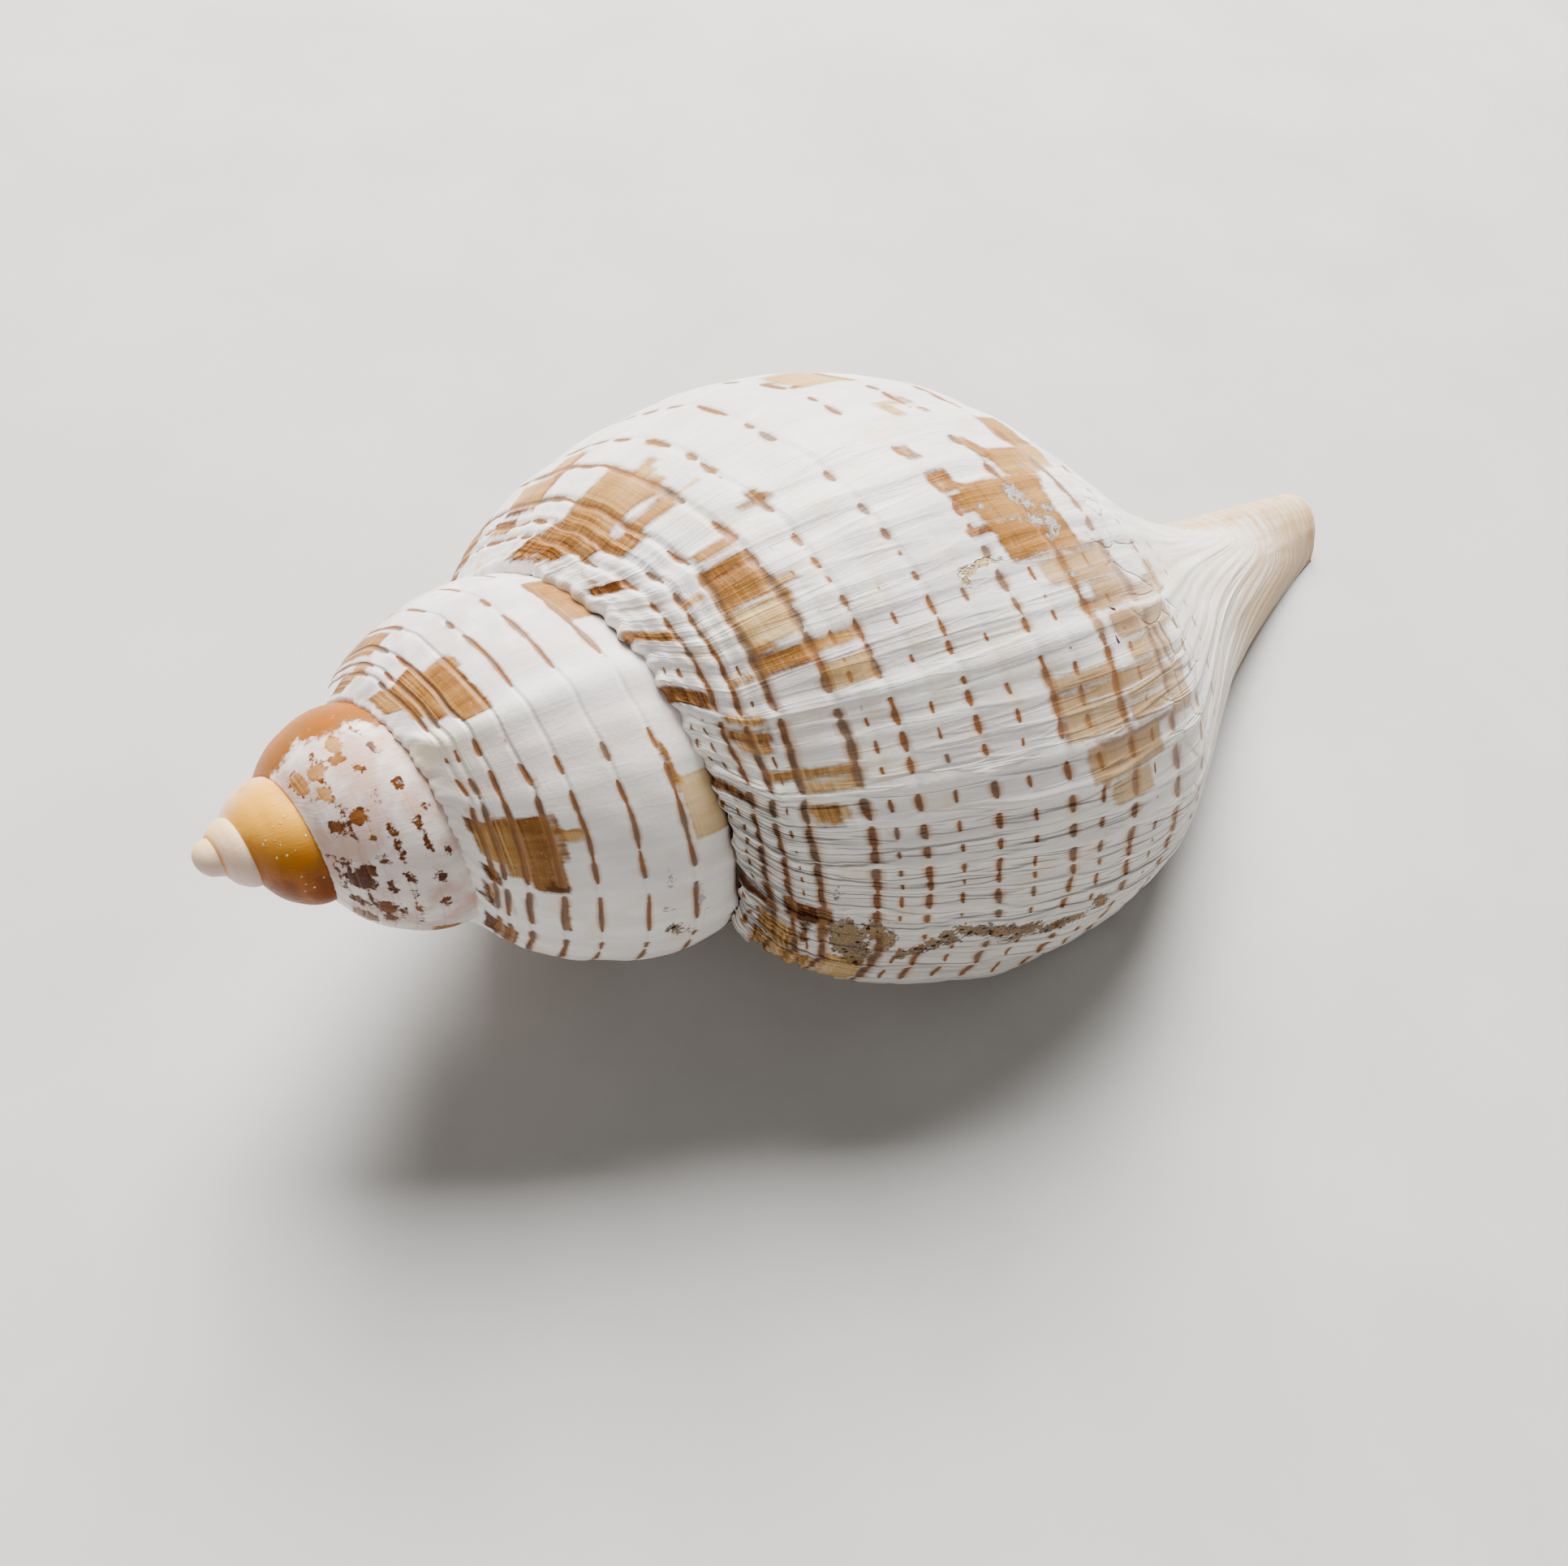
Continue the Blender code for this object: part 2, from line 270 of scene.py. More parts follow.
# Brown patches bounded by growth and spiral lines: (turn from, to, past from, to, depth of colour).
PATCHES = in_turns(4, (
    # last whorl, the block nearest the spire
    (3838, 3880, 0, 26, 0.66), (3844, 3887, 18, 84, 0.68), (3849, 3896, 70, 128, 0.62),
    (3853, 3912, 116, 205, 0.56), (3854, 3906, 190, 322, 0.42), (3868, 3879, 320, 366, 0.32),
    (3878, 3888, 320, 354, 0.25), (3867, 3874, 360, 392, 0.35), (3898.5, 3902.5, 320, 400, 0.12),
    (3854, 3863, 424, 456, 0.55), (3881, 3888, 432, 452, 0.45), (3897, 3902.5, 425, 453, 0.6),
    (3921, 3931, 425, 466, 0.6), (3926.5, 3930.5, 390, 480, 0.35),
    # its left neighbour
    (3781, 3808, 166, 192, 0.85), (3776, 3814, 190, 300, 0.34), (3792, 3812, 300, 410, 0.26),
    (3808, 3815, 170, 400, 0.46), (3776, 3804, 104, 154, 0.5), (3700, 3742, 36, 80, 0.6),
    (3690, 3748, 90, 260, 0.6), (3700, 3752, 380, 560, 0.52),
    # slanted marks under the suture
    (3926, 3937, 12, 90, 0.75), (3906, 3926, 30, 45, 0.45), (3972, 3983, 0, 86, 0.6),
    (4016, 4031, 0, 76, 0.62), (4083, 4091, 0, 72, 1.0), (4162, 4172, 0, 75, 1.0), (3790, 3799, 4, 26, 0.2),
    # block to the right
    (3937, 3946, 225, 330, 0.5), (3933, 3947, 322, 342, 0.7), (3948, 3975, 200, 330, 0.52),
    (3975, 3998, 200, 326, 0.14), (3984, 4000, 200, 238, 0.32), (3994, 4001, 200, 262, 0.45),
    (4001, 4012.5, 190, 318, 0.5), (3968, 3973.5, 322, 384, 0.4), (3974, 3984, 322, 352, 0.4),
    (3957, 3963, 125, 190, 0.25), (4002, 4009.5, 312, 430, 0.32), (4013.5, 4027.5, 312, 430, 0.14),
    (4006.5, 4012, 125, 190, 0.28), (4028, 4036.5, 75, 158, 0.25), (4038.5, 4047, 75, 162, 0.5),
    (4047, 4053, 85, 150, 0.2), (4062.5, 4069.5, 115, 308, 0.36), (4069.5, 4076.5, 180, 308, 0.24),
    (4083, 4095, 180, 245, 0.48), (4085, 4093, 240, 268, 0.2),
    # the large block low on the whorl
    (3931.5, 3942, 770, 802, 0.62), (3949, 3962.5, 764, 820, 0.58), (3962.5, 3973, 772, 810, 0.5),
    (3979, 3984, 756, 810, 0.66), (3959, 3980, 800, 1000, 0.45), (3979, 3998.5, 804, 950, 0.49),
    (3979, 4000, 930, 990, 0.44), (3932, 3949.5, 922, 958, 0.52), (3943, 3960, 940, 1056, 0.4),
    (3956, 3966, 980, 1020, 0.4), (3918, 3941, 1040, 1105, 0.4), (3940, 3957, 1040, 1100, 0.26),
    (3997, 4001, 950, 1060, 0.55), (4000, 4012.5, 856, 905, 0.16), (4000, 4014.5, 900, 1045, 0.34),
    (4014.5, 4028, 945, 1045, 0.38), (4021.5, 4027, 900, 1045, 0.52), (4022, 4037, 904, 928, 0.36),
    (4029, 4042, 950, 1045, 0.4), (4004, 4022, 1040, 1100, 0.28), (4018, 4030, 1040, 1145, 0.34),
    (4031, 4043.5, 1040, 1135, 0.36), (4043.5, 4058, 1030, 1095, 0.28), (4012, 4030, 1130, 1180, 0.2),
    # the grid of lighter stripes beside it
    (4041, 4077.5, 748, 764, 0.7), (4047.5, 4055, 760, 905, 0.38), (4056, 4077.5, 764, 835, 0.26),
    (4062, 4078, 835, 905, 0.14), (4055, 4062, 835, 905, 0.26), (4080, 4097.5, 794, 1000, 0.3),
    (4079, 4101, 820, 840, 0.5), (4048, 4101, 902, 918, 0.55), (4044, 4052.5, 968, 1045, 0.28),
    (4053, 4061, 905, 1045, 0.42), (4061.5, 4068, 920, 1045, 0.3), (4069, 4078, 925, 1040, 0.34),
    (4060, 4086, 1045, 1110, 0.2), (4099, 4112, 840, 960, 0.16), (4079.5, 4084, 820, 1045, 0.66),
    (4046, 4052, 1030, 1080, 0.3),
    # far left, low
    (3846, 3874, 800, 950, 0.2), (3853, 3859, 774, 802, 0.5), (3866, 3872, 785, 808, 0.5),
    (3899.5, 3904, 855, 950, 0.22), (3904, 3914.5, 855, 890, 0.2), (3897, 3904, 934, 955, 0.55),
    (3907, 3913.5, 934, 955, 0.55),
    # edge of the mouth
    (4150, 4168, 88, 196, 0.84), (4150, 4176, 46, 68, 0.8), (4168, 4190, 126, 150, 0.8),
    (4168, 4184, 176, 196, 0.84), (4176, 4202, 40, 120, 0.36), (4203, 4232, 30, 180, 0.26),
    (4196, 4232, 200, 290, 0.16),
    # penultimate whorl
    (2735, 2830, 205, 360, 0.52), (2690, 2775, 300, 660, 0.5), (2790, 2826, 10, 110, 0.56),
    (2812, 2838, 100, 160, 0.46), (2882, 2925, 20, 110, 0.42), (2888, 2945, 90, 175, 0.46),
    (2887, 2958, 160, 258, 0.58), (2903, 2971, 246, 400, 0.56), (2905, 2922, 385, 425, 0.42),
    (2950, 2968, 385, 408, 0.4), (3062, 3084, 50, 150, 0.66), (3066, 3108, 60, 165, 0.5),
    (3058, 3122, 150, 245, 0.55), (3060, 3134, 235, 385, 0.62), (3112, 3134.5, 260, 382, 0.86),
    (3060, 3104, 375, 418, 0.5), (3076, 3088, 410, 500, 0.3), (3118, 3140, 50, 115, 0.8),
    (3206, 3262, 10, 150, 0.9), (3148, 3186, 30, 70, 0.8), (3172, 3184, 0, 40, 0.8),
    (3196, 3214, 60, 80, 0.8), (2870, 2926, 884, 1020, 0.52), (2940, 2965, 880, 900, 0.3),
    (3030, 3064, 868, 905, 0.5), (3058, 3106, 890, 1020, 0.06), (3030, 3042, 380, 408, 0.45),
    (3145, 3183, 340, 365, 0.8),
    # spotted whorl
    (2106, 2144, 115, 345, 1.0), (2096, 2120, 270, 375, 0.8), (2020, 2044, 150, 270, 0.66),
    (2000, 2045, 300, 336, 0.66), (2012, 2036, 340, 490, 0.62), (2088, 2100, 60, 200, 0.7),
    (2170, 2190, 100, 225, 0.9), (2165, 2192, 300, 460, 0.7), (1948, 1976, 296, 336, 0.6),
    (2050, 2064, 430, 500, 0.62), (2082, 2098, 426, 495, 0.8), (2126, 2144, 424, 490, 0.9),
    (2045, 2070, 584, 640, 0.7), (2074, 2094, 584, 632, 0.7), (2110, 2132, 580, 636, 0.95),
    (2150, 2200, 590, 630, 0.6), (1992, 2008, 760, 850, 0.74), (2044, 2062, 775, 835, 0.74),
    (2070, 2088, 775, 830, 0.76), (2112, 2132, 774, 835, 0.95), (2158, 2174, 770, 830, 0.7),
    (1866, 1882, 720, 775, 0.66), (1898, 1914, 756, 805, 0.6), (1932, 1950, 775, 828, 0.7),
    (1998, 2012, 596, 645, 0.56), (1958, 1972, 596, 650, 0.56), (2210, 2250, 100, 300, 0.7),
    (2146, 2166, 60, 90, 0.9), (2110, 2140, 50, 80, 0.7), (2150, 2178, 250, 290, 0.9),
    (2196, 2216, 330, 450, 0.8), (2175, 2200, 480, 520, 0.8), (1905, 1925, 350, 400, 0.5),
    (1930, 1945, 440, 600, 0.44), (2030, 2040, 880, 930, 0.7), (2085, 2097, 890, 940, 0.8),
    (1910, 1966, 60, 210, 0.4), (1925, 1950, 230, 400, 0.32), (1962, 1990, 200, 330, 0.26),
    (1900, 1930, 520, 640, 0.3),
))
# Turns that face away, whose patches and pulses follow a rule.
HIDDEN_PATCH_TURNS = ((2.24, 2.74), (3.26, 3.68))
HIDDEN_PULSE_TURNS = ((2.26, 2.74), (3.26, 3.68))
SPOTS_UNTIL = 2.26  # before this turn the patches are rounded spots
# Places where the spiral lines stay faint: (turn from, to, past from, to).
FADED = in_turns(4, (
    (2840, 2975, 355, 430), (2975, 3020, 355, 1000), (2846, 2866, 440, 1000),
))
# White flaws inside the patches: (turn, past, half width in turns, half height).
BARE_SPOTS = in_turns(4, (
    (3982, 1012, 14, 26), (3970, 1018, 8, 16), (3950, 880, 8, 34), (3893, 240, 2.5, 40), (3895, 168, 3, 14),
    (4010, 1085, 11, 30),
))
# Old growing edge with a pitted brown crust: (turn, past, half width in turns, half height).
CRUST = in_turns(4, (
    (4168, 225, 10, 40), (4178, 240, 18, 40), (4190, 270, 12, 35), (4165, 290, 8, 30), (4172, 325, 9, 22),
    (4140, 205, 4, 10), (4187, 375, 6, 22), (4183, 410, 6, 28), (4177, 445, 6, 26), (4170, 470, 6, 24),
    (4164, 495, 4, 20), (4176, 480, 4, 30), (4167, 540, 6, 50), (4170, 600, 7, 50), (4172, 660, 7, 40),
    (4180, 640, 4, 30), (4177, 730, 4, 40), (4174, 780, 4, 35), (4168, 840, 5, 22), (3183, 760, 6, 30),
    (3191, 800, 4, 30),
))
# Small chips and pits with a bright broken face.
CHIPS = in_turns(4, (
    (3968, 918, 6, 22), (3973, 930, 4, 26), (3983, 922, 4, 26), (3986, 945, 6, 22), (3979, 965, 4, 18),
    (3990, 930, 3, 16), (3971.5, 825, 2.2, 18), (3981, 868, 2.2, 16), (4009, 920, 3, 14),
    (4008, 978, 2, 10), (3956, 1003, 2, 12), (3130, 760, 6, 10), (3135, 790, 4, 22), (3160, 870, 6, 26),
    (3147, 872, 3, 18), (3158, 745, 4, 26), (3176, 875, 5, 16),
))
# Yellowed scar and dark pin holes.
SCARS = in_turns(4, (
    (3994.5, 745, 2.2, 30), (3996, 705, 2.5, 22), (4000, 688, 3.5, 10), (3995, 775, 1.5, 20),
))
PIN_HOLES = in_turns(4, (
    (4027.5, 964, 1, 4), (4030, 969, 1.2, 4), (4029, 976, 1, 4), (4040, 952, 1.4, 5), (4042.5, 948, 1.6, 4),
    (4044.5, 956, 1, 4), (4046.5, 978, 0.8, 4), (4163, 275, 3, 6), (4166, 300, 1.4, 5), (4174, 215, 1.4, 5),
    (4180, 245, 1.4, 5), (4186, 235, 1.2, 5), (4170, 250, 1.2, 4),
))
FLAWS = {"crust": CRUST, "chip": CHIPS, "scar": SCARS, "hole": PIN_HOLES}


def hidden_patches():
    """Patches of the same kind for the parts that face away, drawn from one seeded stream."""
    pick = np.random.default_rng(17)
    made = []
    for first, last in HIDDEN_PATCH_TURNS:
        edges = [(line[1] if last < 3 else line[2]) for line in SPIRAL_LINES if line[3] > 0.5]
        turn = first
        while turn < last:
            width = pick.uniform(0.018, 0.05)
            low = pick.integers(0, len(edges) - 3)
            high = low + pick.integers(2, 4)
            depth = pick.uniform(0.3, 0.7)
            start = edges[low]
            end = edges[high]
            made.append((turn, turn + width, start, end, depth))
            side = turn + width * pick.uniform(0.5, 0.9)
            made.append((side, side + 0.6 * width, start, start + 0.6 * (end - start), depth * 0.8))
            if pick.uniform() < 0.6:
                other = pick.integers(4, len(edges) - 2)
                made.append((turn - 0.01, turn + 0.5 * width, edges[other], edges[other + 1], depth))
            turn += width + pick.uniform(0.004, 0.03)
    return tuple(made)


def hidden_pulses():
    """Pulses of pigment for the parts that face away, from a stream of their own."""
    pick = np.random.default_rng(5)
    made = []
    for first, last in HIDDEN_PULSE_TURNS:
        turn = first
        while turn < last:
            width = pick.uniform(0.005, 0.022)
            made.append((turn, turn + width, pick.uniform(0.4, 1.0)))
            turn += width + pick.uniform(0.003, 0.018)
    return tuple(made)


def line_places(turn):
    """Where each spiral line lies on this turn, in turns past the suture."""
    drift = straight(LINE_DRIFT, turn)
    places = []
    for second, third, fourth, _ in SPIRAL_LINES:
        low = second + (third - second) * (turn - 2)
        high = third + (fourth - third) * (turn - 3)
        places.append(np.where(turn < 3, low, high) + drift * straight(DRIFT_SHARE, fourth))
    return np.array(places)


def line_strengths(turn):
    """Strength of each line on this turn. The weak ones only show late on the last whorl."""
    late = ease(turn, 3.93, 4.01)
    spotted = 0.55 + 0.45 * ease(turn, 2.2, 2.35)
    strengths = []
    for line in SPIRAL_LINES:
        strengths.append(line[3] * spotted * (late if line[3] < WEAK_LINE else 1.0))
    return np.array(strengths)


def band_fields(turn, past):
    """Counts the spiral lines, whole on a line, with the width of one step and the line's strength."""
    places = line_places(turn)
    strengths = line_strengths(turn)
    band = np.zeros_like(turn)
    gap = np.full_like(turn, 0.05)
    pull = np.zeros_like(turn)
    for k in range(len(places) - 1):
        here = (past >= places[k]) & (past < places[k + 1])
        share = (past - places[k]) / (places[k + 1] - places[k])
        band = np.where(here, k + 1 + share, band)
        gap = np.where(here, places[k + 1] - places[k], gap)
        pull = np.where(here, np.where(share < 0.5, strengths[k], strengths[k + 1]), pull)
    before = past < places[0]
    band = np.where(before, 1 - (places[0] - past) / 0.02, band)
    pull = np.where(before, strengths[0], pull)
    after = past >= places[-1]
    band = np.where(after, len(places) + (past - places[-1]) / 0.2, band)
    return np.maximum(band, 0.55), gap, pull


def sweep(past):
    """Growth lines lean back close to the suture."""
    return 0.022 * unit(1 - past / 0.13) ** 1.5


def age_of(turn, past, height):
    """The turn at which this place was the growing edge. On the canal it bends round the tip."""
    bowed = 0.030 * np.clip(past - 0.5, 0, 0.6) ** 1.2 * ease(turn, 4.09, 4.15)
    along = turn + sweep(past) - bowed
    tip_age = MOUTH_TURN + np.log(np.clip(height, 1, LENGTH) / LENGTH) / GROWTH
    soft = 0.02
    bent = soft * np.logaddexp(along / soft, tip_age / soft)
    return np.where(turn > MOUTH_TURN - 1, bent, along)


def pigment_of(age):
    """From -1 in a white gap to 1 in a strong pulse."""
    value = np.full_like(age, NO_PIGMENT)
    for start, end, strength in PULSES + hidden_pulses():
        inside = 1 - np.abs(age - (start + end) / 2) / ((end - start) / 2)
        rise = np.clip(inside * 1.6, NO_PIGMENT, 1) * strength
        value = np.maximum(value, rise + np.minimum(inside, 0) * 0.05)
    for start, end in WHITE_RIDGES:
        inside = unit((1 - np.abs(age - (start + end) / 2) / ((end - start) / 2)) * 2)
        value = value + (-1 - value) * inside
    return value


def faded(turn, past):
    """1 where the lines are faint, 0 elsewhere."""
    share = np.zeros_like(turn)
    for t0, t1, p0, p1 in FADED:
        along = unit(np.minimum(turn - t0, t1 - turn) / 0.004)
        across = unit(np.minimum(past - p0, p1 - past) / 0.01)
        share = np.maximum(share, along * across)
    return share


def patch_fields(turn, past, around, down):
    """Signed distance in millimetres to the nearest patch edge, positive inside, and that patch's depth."""
    lean = sweep(past)
    best = np.full_like(turn, -1.5)
    depth = np.full_like(turn, 0.4)
    for t0, t1, p0, p1, tone in PATCHES + hidden_patches():
        near = (turn + lean > t0 - 0.05) & (turn + lean < t1 + 0.05)
        if not near.any():
            continue
        t = turn[near] + lean[near]
        p = past[near]
        sides = np.minimum(t - t0, t1 - t) * around[near]
        ends = np.minimum(p - p0, p1 - p) * down[near]
        inside = np.minimum(sides, ends)
        outside = -np.hypot(np.minimum(sides, 0), np.minimum(ends, 0))
        value = np.where(inside > 0, inside, outside)
        if t1 < SPOTS_UNTIL:
            wide = (t1 - t0) / 1.8
            high = (p1 - p0) / 1.8
            reach = 1 - np.hypot((t - (t0 + t1) / 2) / wide, (p - (p0 + p1) / 2) / high)
            value = reach * np.minimum(wide * around[near], high * down[near])
        better = value > best[near]
        places = np.flatnonzero(near.ravel())[better]
        best.ravel()[places] = value[better]
        depth.ravel()[places] = tone
    best = np.minimum(best, -flaw_field(BARE_SPOTS, turn, past, around, down))
    return best / np.clip(whorl_size(turn), 0.1, 1) ** 0.7, depth


def flaw_field(flaws, turn, past, around, down):
    """Depth in millimetres inside the nearest of the flaws, negative outside."""
    best = np.full_like(turn, -1.0)
    for t0, p0, wide, high in flaws:
        reach = 1 - np.hypot((turn - t0) / wide, (past - p0) / high)
        best = np.maximum(best, reach * np.minimum(wide * around, high * down))
    return best


def wander(x, y, seed, waves=9, low=1.0, high=5.0):
    """Smooth seeded unevenness between about -1 and 1."""
    pick = np.random.default_rng(seed)
    total = np.zeros_like(x)
    for _ in range(waves):
        angle = pick.uniform(0, math.tau)
        rate = pick.uniform(low, high)
        along = x * math.cos(angle) + y * math.sin(angle)
        total = total + np.sin(rate * along + pick.uniform(0, math.tau))
    return total / math.sqrt(waves)


def ripple(x, rate, sway, slow_rate):
    """Waves whose spacing drifts, so that they don't look ruled."""
    return np.sin(x * rate + sway * np.sin(x * slow_rate))


def relief(turn, past, age, band, pull):
    """Height of the skin's own relief, in millimetres."""
    near_suture = unit(1 - past / 0.24)
    body = ease(turn, 3.86, 3.97)

    # Growth ridges: white ones between the pulses, frills by the suture and the mouth, soft pillows.
    ridges = -0.045 * pigment_of(age) * (1 + 0.5 * body + 0.9 * near_suture)
    frilled = near_suture * (0.25 + 0.6 * ease(turn, 3.97, 4.06)) + 0.7 * ease(turn, 4.08, 4.17)
    ridges += 0.030 * ripple(age, 520, 2, 61) * frilled
    ridges += 0.13 * np.sin(age * 760) * ease(turn, 4.14, 4.19) * unit(1 - past / 0.3)
    pillow = np.abs(ripple(age, 150, 0.8, 37)) - 0.6
    ridges += 0.10 * pillow * body * ease(turn, 4.10, 4.04) * np.clip(1.25 - past, 0, 0.6)
    ridges *= ease(age, 1.2, 2.4)
    swell = 0.16 * ripple(age, 38, 1.7, 11.3) * ease(age, 2.3, 3.0) * np.clip(1.3 - past, 0.1, 1)

    # Grooves on the spiral lines, single tall ridges, cords between the lines by the suture.
    off_line = np.abs(band - np.round(band))
    groove = -0.06 * np.exp(-((off_line * 5.0) ** 2)) * np.minimum(pull * 1.3, 1) * ease(age, 1.6, 2.4)
    for place, wide, tall in RIDGES:
        crest = np.exp(-(((age - place) / wide) ** 2)) * unit(past / 0.05)
        ridges = ridges + tall * crest * (0.8 + 0.5 * near_suture)
    cords = 0.13 * (1 - (1 - 2 * np.clip(off_line, 0, 0.5)) ** 2)
    cords = cords * unit(1 - past / 0.26) ** 0.5 * ease(age, 2.4, 3.2)
    uneven = 0.07 * wander(turn * 40, past * 14, 3) * ease(age, 2.0, 3.4)
    return whorl_size(turn) ** 0.8 * (ridges + swell + groove + cords + uneven)


def lip_shift(turn, past):
    """Turns by which the lip's edge is drawn back at the suture and jagged at its corner."""
    drawn = -LIP_SWEEP * unit(1 - past / 0.4) ** 2 * ease(turn, MOUTH_TURN - 0.5, MOUTH_TURN)
    jagged = np.sin(past * 118) + 0.7 * np.sin(past * 71 + 1) + 0.5 * np.sin(past * 203 + 2)
    rough = np.clip(1.5 - past / 0.3, 0.12, 1.5) * ease(turn, MOUTH_TURN - 0.035, MOUTH_TURN)
    return drawn + 0.0034 * jagged * rough


class Skin:
    """Collects points and faces. Each point carries where it lies on the spiral and what marks it."""

    def __init__(self):
        self.points = []
        self.faces = []
        self.notes = defaultdict(list)
        self.count = 0

    def grid(self, turn, radius, height, past, inside):
        """Adds a grid of points and returns their numbers."""
        angle = math.tau * turn
        places = np.stack([radius * np.cos(angle), radius * np.sin(angle), height], -1)
        self.points.append(places.reshape(-1, 3))
        age = age_of(turn, past, height)
        band, gap, pull = band_fields(turn, past + 0.0026 * wander(turn * 75, past * 7, 11))
        around = math.tau * radius
        down = np.hypot(np.gradient(height, axis=1), np.gradient(radius, axis=1))
        down = down / np.maximum(np.gradient(past, axis=1), 1e-4)
        patch, depth = patch_fields(turn, past, around, down)
        fields = {"turn": turn, "past": past, "age": age, "band": band, "gap": gap, "pull": pull}
        fields["pigment"] = pigment_of(age) - 1.3 * faded(turn, past)
        fields["patch"] = patch
        fields["depth"] = depth
        fields["inside"] = np.full_like(turn, inside)
        for name, flaws in FLAWS.items():
            fields[name] = flaw_field(flaws, turn, past, around, down)
        for name, values in fields.items():
            self.notes[name].append(values.ravel())
        numbers = np.arange(turn.size).reshape(turn.shape) + self.count
        self.count += turn.size
        return numbers

    def sheet(self, numbers, flip=False):
        """Spans four-sided faces over a grid of points."""
        a = numbers[:-1, :-1].ravel()
        b = numbers[1:, :-1].ravel()
        c = numbers[1:, 1:].ravel()
        d = numbers[:-1, 1:].ravel()
        order = (d, c, b, a) if flip else (a, b, c, d)
        self.faces.extend(zip(*(side.tolist() for side in order)))


def stepped(stages, end):
    """Places up to the end. Each stage is its start and its step."""
    stops = [start for start, _ in stages[1:]] + [end]
    runs = [np.arange(start, stop, step) for (start, step), stop in zip(stages, stops)]
    return np.append(np.concatenate(runs), end)


def spread(turns, count):
    """The turns, repeated over the columns of a grid."""
    return np.repeat(turns[:, None], count, axis=1)


def outer_rows(turns, to_tip):
    """Turn, radius, height and place past the suture for rows of the outer skin."""
    steps = stepped(COLUMN_STAGES, NECK)
    if not to_tip:
        steps = np.concatenate([steps[steps < 1.0][::2], [1.0, 1.02]])
    turn = spread(turns, len(steps))
    height = suture_height(turn + steps[None, :])
    if to_tip:
        shares = np.linspace(0, 1, NECK_STEPS + 1)[1:] ** 0.95
        start = height[:, -1:]
        base = start * (LENGTH / start) ** shares[None, :]
        height = np.concatenate([height, base], axis=1)
        turn = spread(turns, height.shape[1])
    past = turn_of_height(height) - turn
    moved = turn + lip_shift(turn, past)
    past = turn_of_height(height) - moved
    radius = outer_radius(moved, height)
    age = age_of(moved, past, height)
    band, _, pull = band_fields(moved, past)
    fade = 1 - 0.75 * ease(height, 62, 90)
    radius = radius + relief(moved, past, age, band, pull) * fade
    return moved, radius, height, past


def with_ledge(turn, radius, height, past):
    """Puts the whorl's thin upper edge on the whorl before it."""
    first = turn[:, :1]
    size = whorl_size(first) ** 0.8
    seam = 0.10 * ripple(first, 410, 1, 57) + 0.10 * np.sin(first * 149)
    seam = seam * size * ease(first, 1.5, 3.0)
    ledge = (
        spread(turn[:, 0], len(LEDGE)),
        np.concatenate([radius[:, :1] * share for share, _, _ in LEDGE], axis=1),
        np.concatenate([height[:, :1] - drop * size for _, drop, _ in LEDGE], axis=1) + seam,
        np.concatenate([past[:, :1] - back for _, _, back in LEDGE], axis=1),
    )
    height = height + seam * unit(1 - past / 0.07)
    return [np.concatenate(pair, axis=1) for pair in zip(ledge, (turn, radius, height, past))]


def hollow_rows(turns, shares):
    """Turn and height for rows from the top of the hollow to its foot or, where it's open, to the tip."""
    top = cavity_top(turns)
    foot = CAVITY_END * suture_height(turns)
    bottom = foot + (LENGTH - foot) * ease(turns, FIRST_OPEN - CANAL_RUN_IN, FIRST_OPEN)
    return spread(turns, len(shares)), top[:, None] * (bottom / top)[:, None] ** shares[None, :]


def build_shell():
    """The whole skin: spire, last whorl, crown, inner wall, lip and the floor of the hollow."""
    skin = Skin()
    cut = MOUTH_TURN - 1

    # Every whorl above the last one runs a little way under the next.
    spire = stepped(SPIRE_STAGES, cut)
    skin.sheet(skin.grid(*with_ledge(*outer_rows(spire, False)), OUTSIDE))

    # The last whorl has the base and the canal too.
    last = stepped(((cut, COARSE_STEP), (FINE_FROM, FINE_STEP)), MOUTH_TURN)
    outer = with_ledge(*outer_rows(last, True))
    outside = skin.grid(*outer, OUTSIDE)
    skin.sheet(outside)
    add_crown(skin)

    # The wall's inside shares its columns with the outer skin, so that the lip closes.
    rim = [values[-1, len(LEDGE):] for values in outer]
    back = MOUTH_TURN - CAVITY_TURNS * np.linspace(1, 0, WALL_ROWS) ** 1.4
    inner = wall_rows(back, rim[2])
    wall = skin.grid(*inner, LINING)
    skin.sheet(wall, flip=True)
    add_lip(skin, outside[-1, len(LEDGE):], wall[-1], rim, [values[-1] for values in inner])

    # The floor of the hollow is the skin of the whorl before, with low folds on the columella.
    floor_turn = MOUTH_TURN - np.linspace(CAVITY_TURNS, 0, HOLLOW_ROWS)
    turn, height = hollow_rows(floor_turn, np.linspace(0, 1, HOLLOW_COLUMNS) ** 0.95)
    radius = outer_radius(turn - 1, height) + fold_relief(turn, height) - 0.01
    floor = skin.grid(turn, radius, height, turn_of_height(height) - turn, HOLLOW_FLOOR)
    skin.sheet(floor)
    add_foot(skin, floor[:, -1], wall[:, -1], floor_turn, back)
    return skin


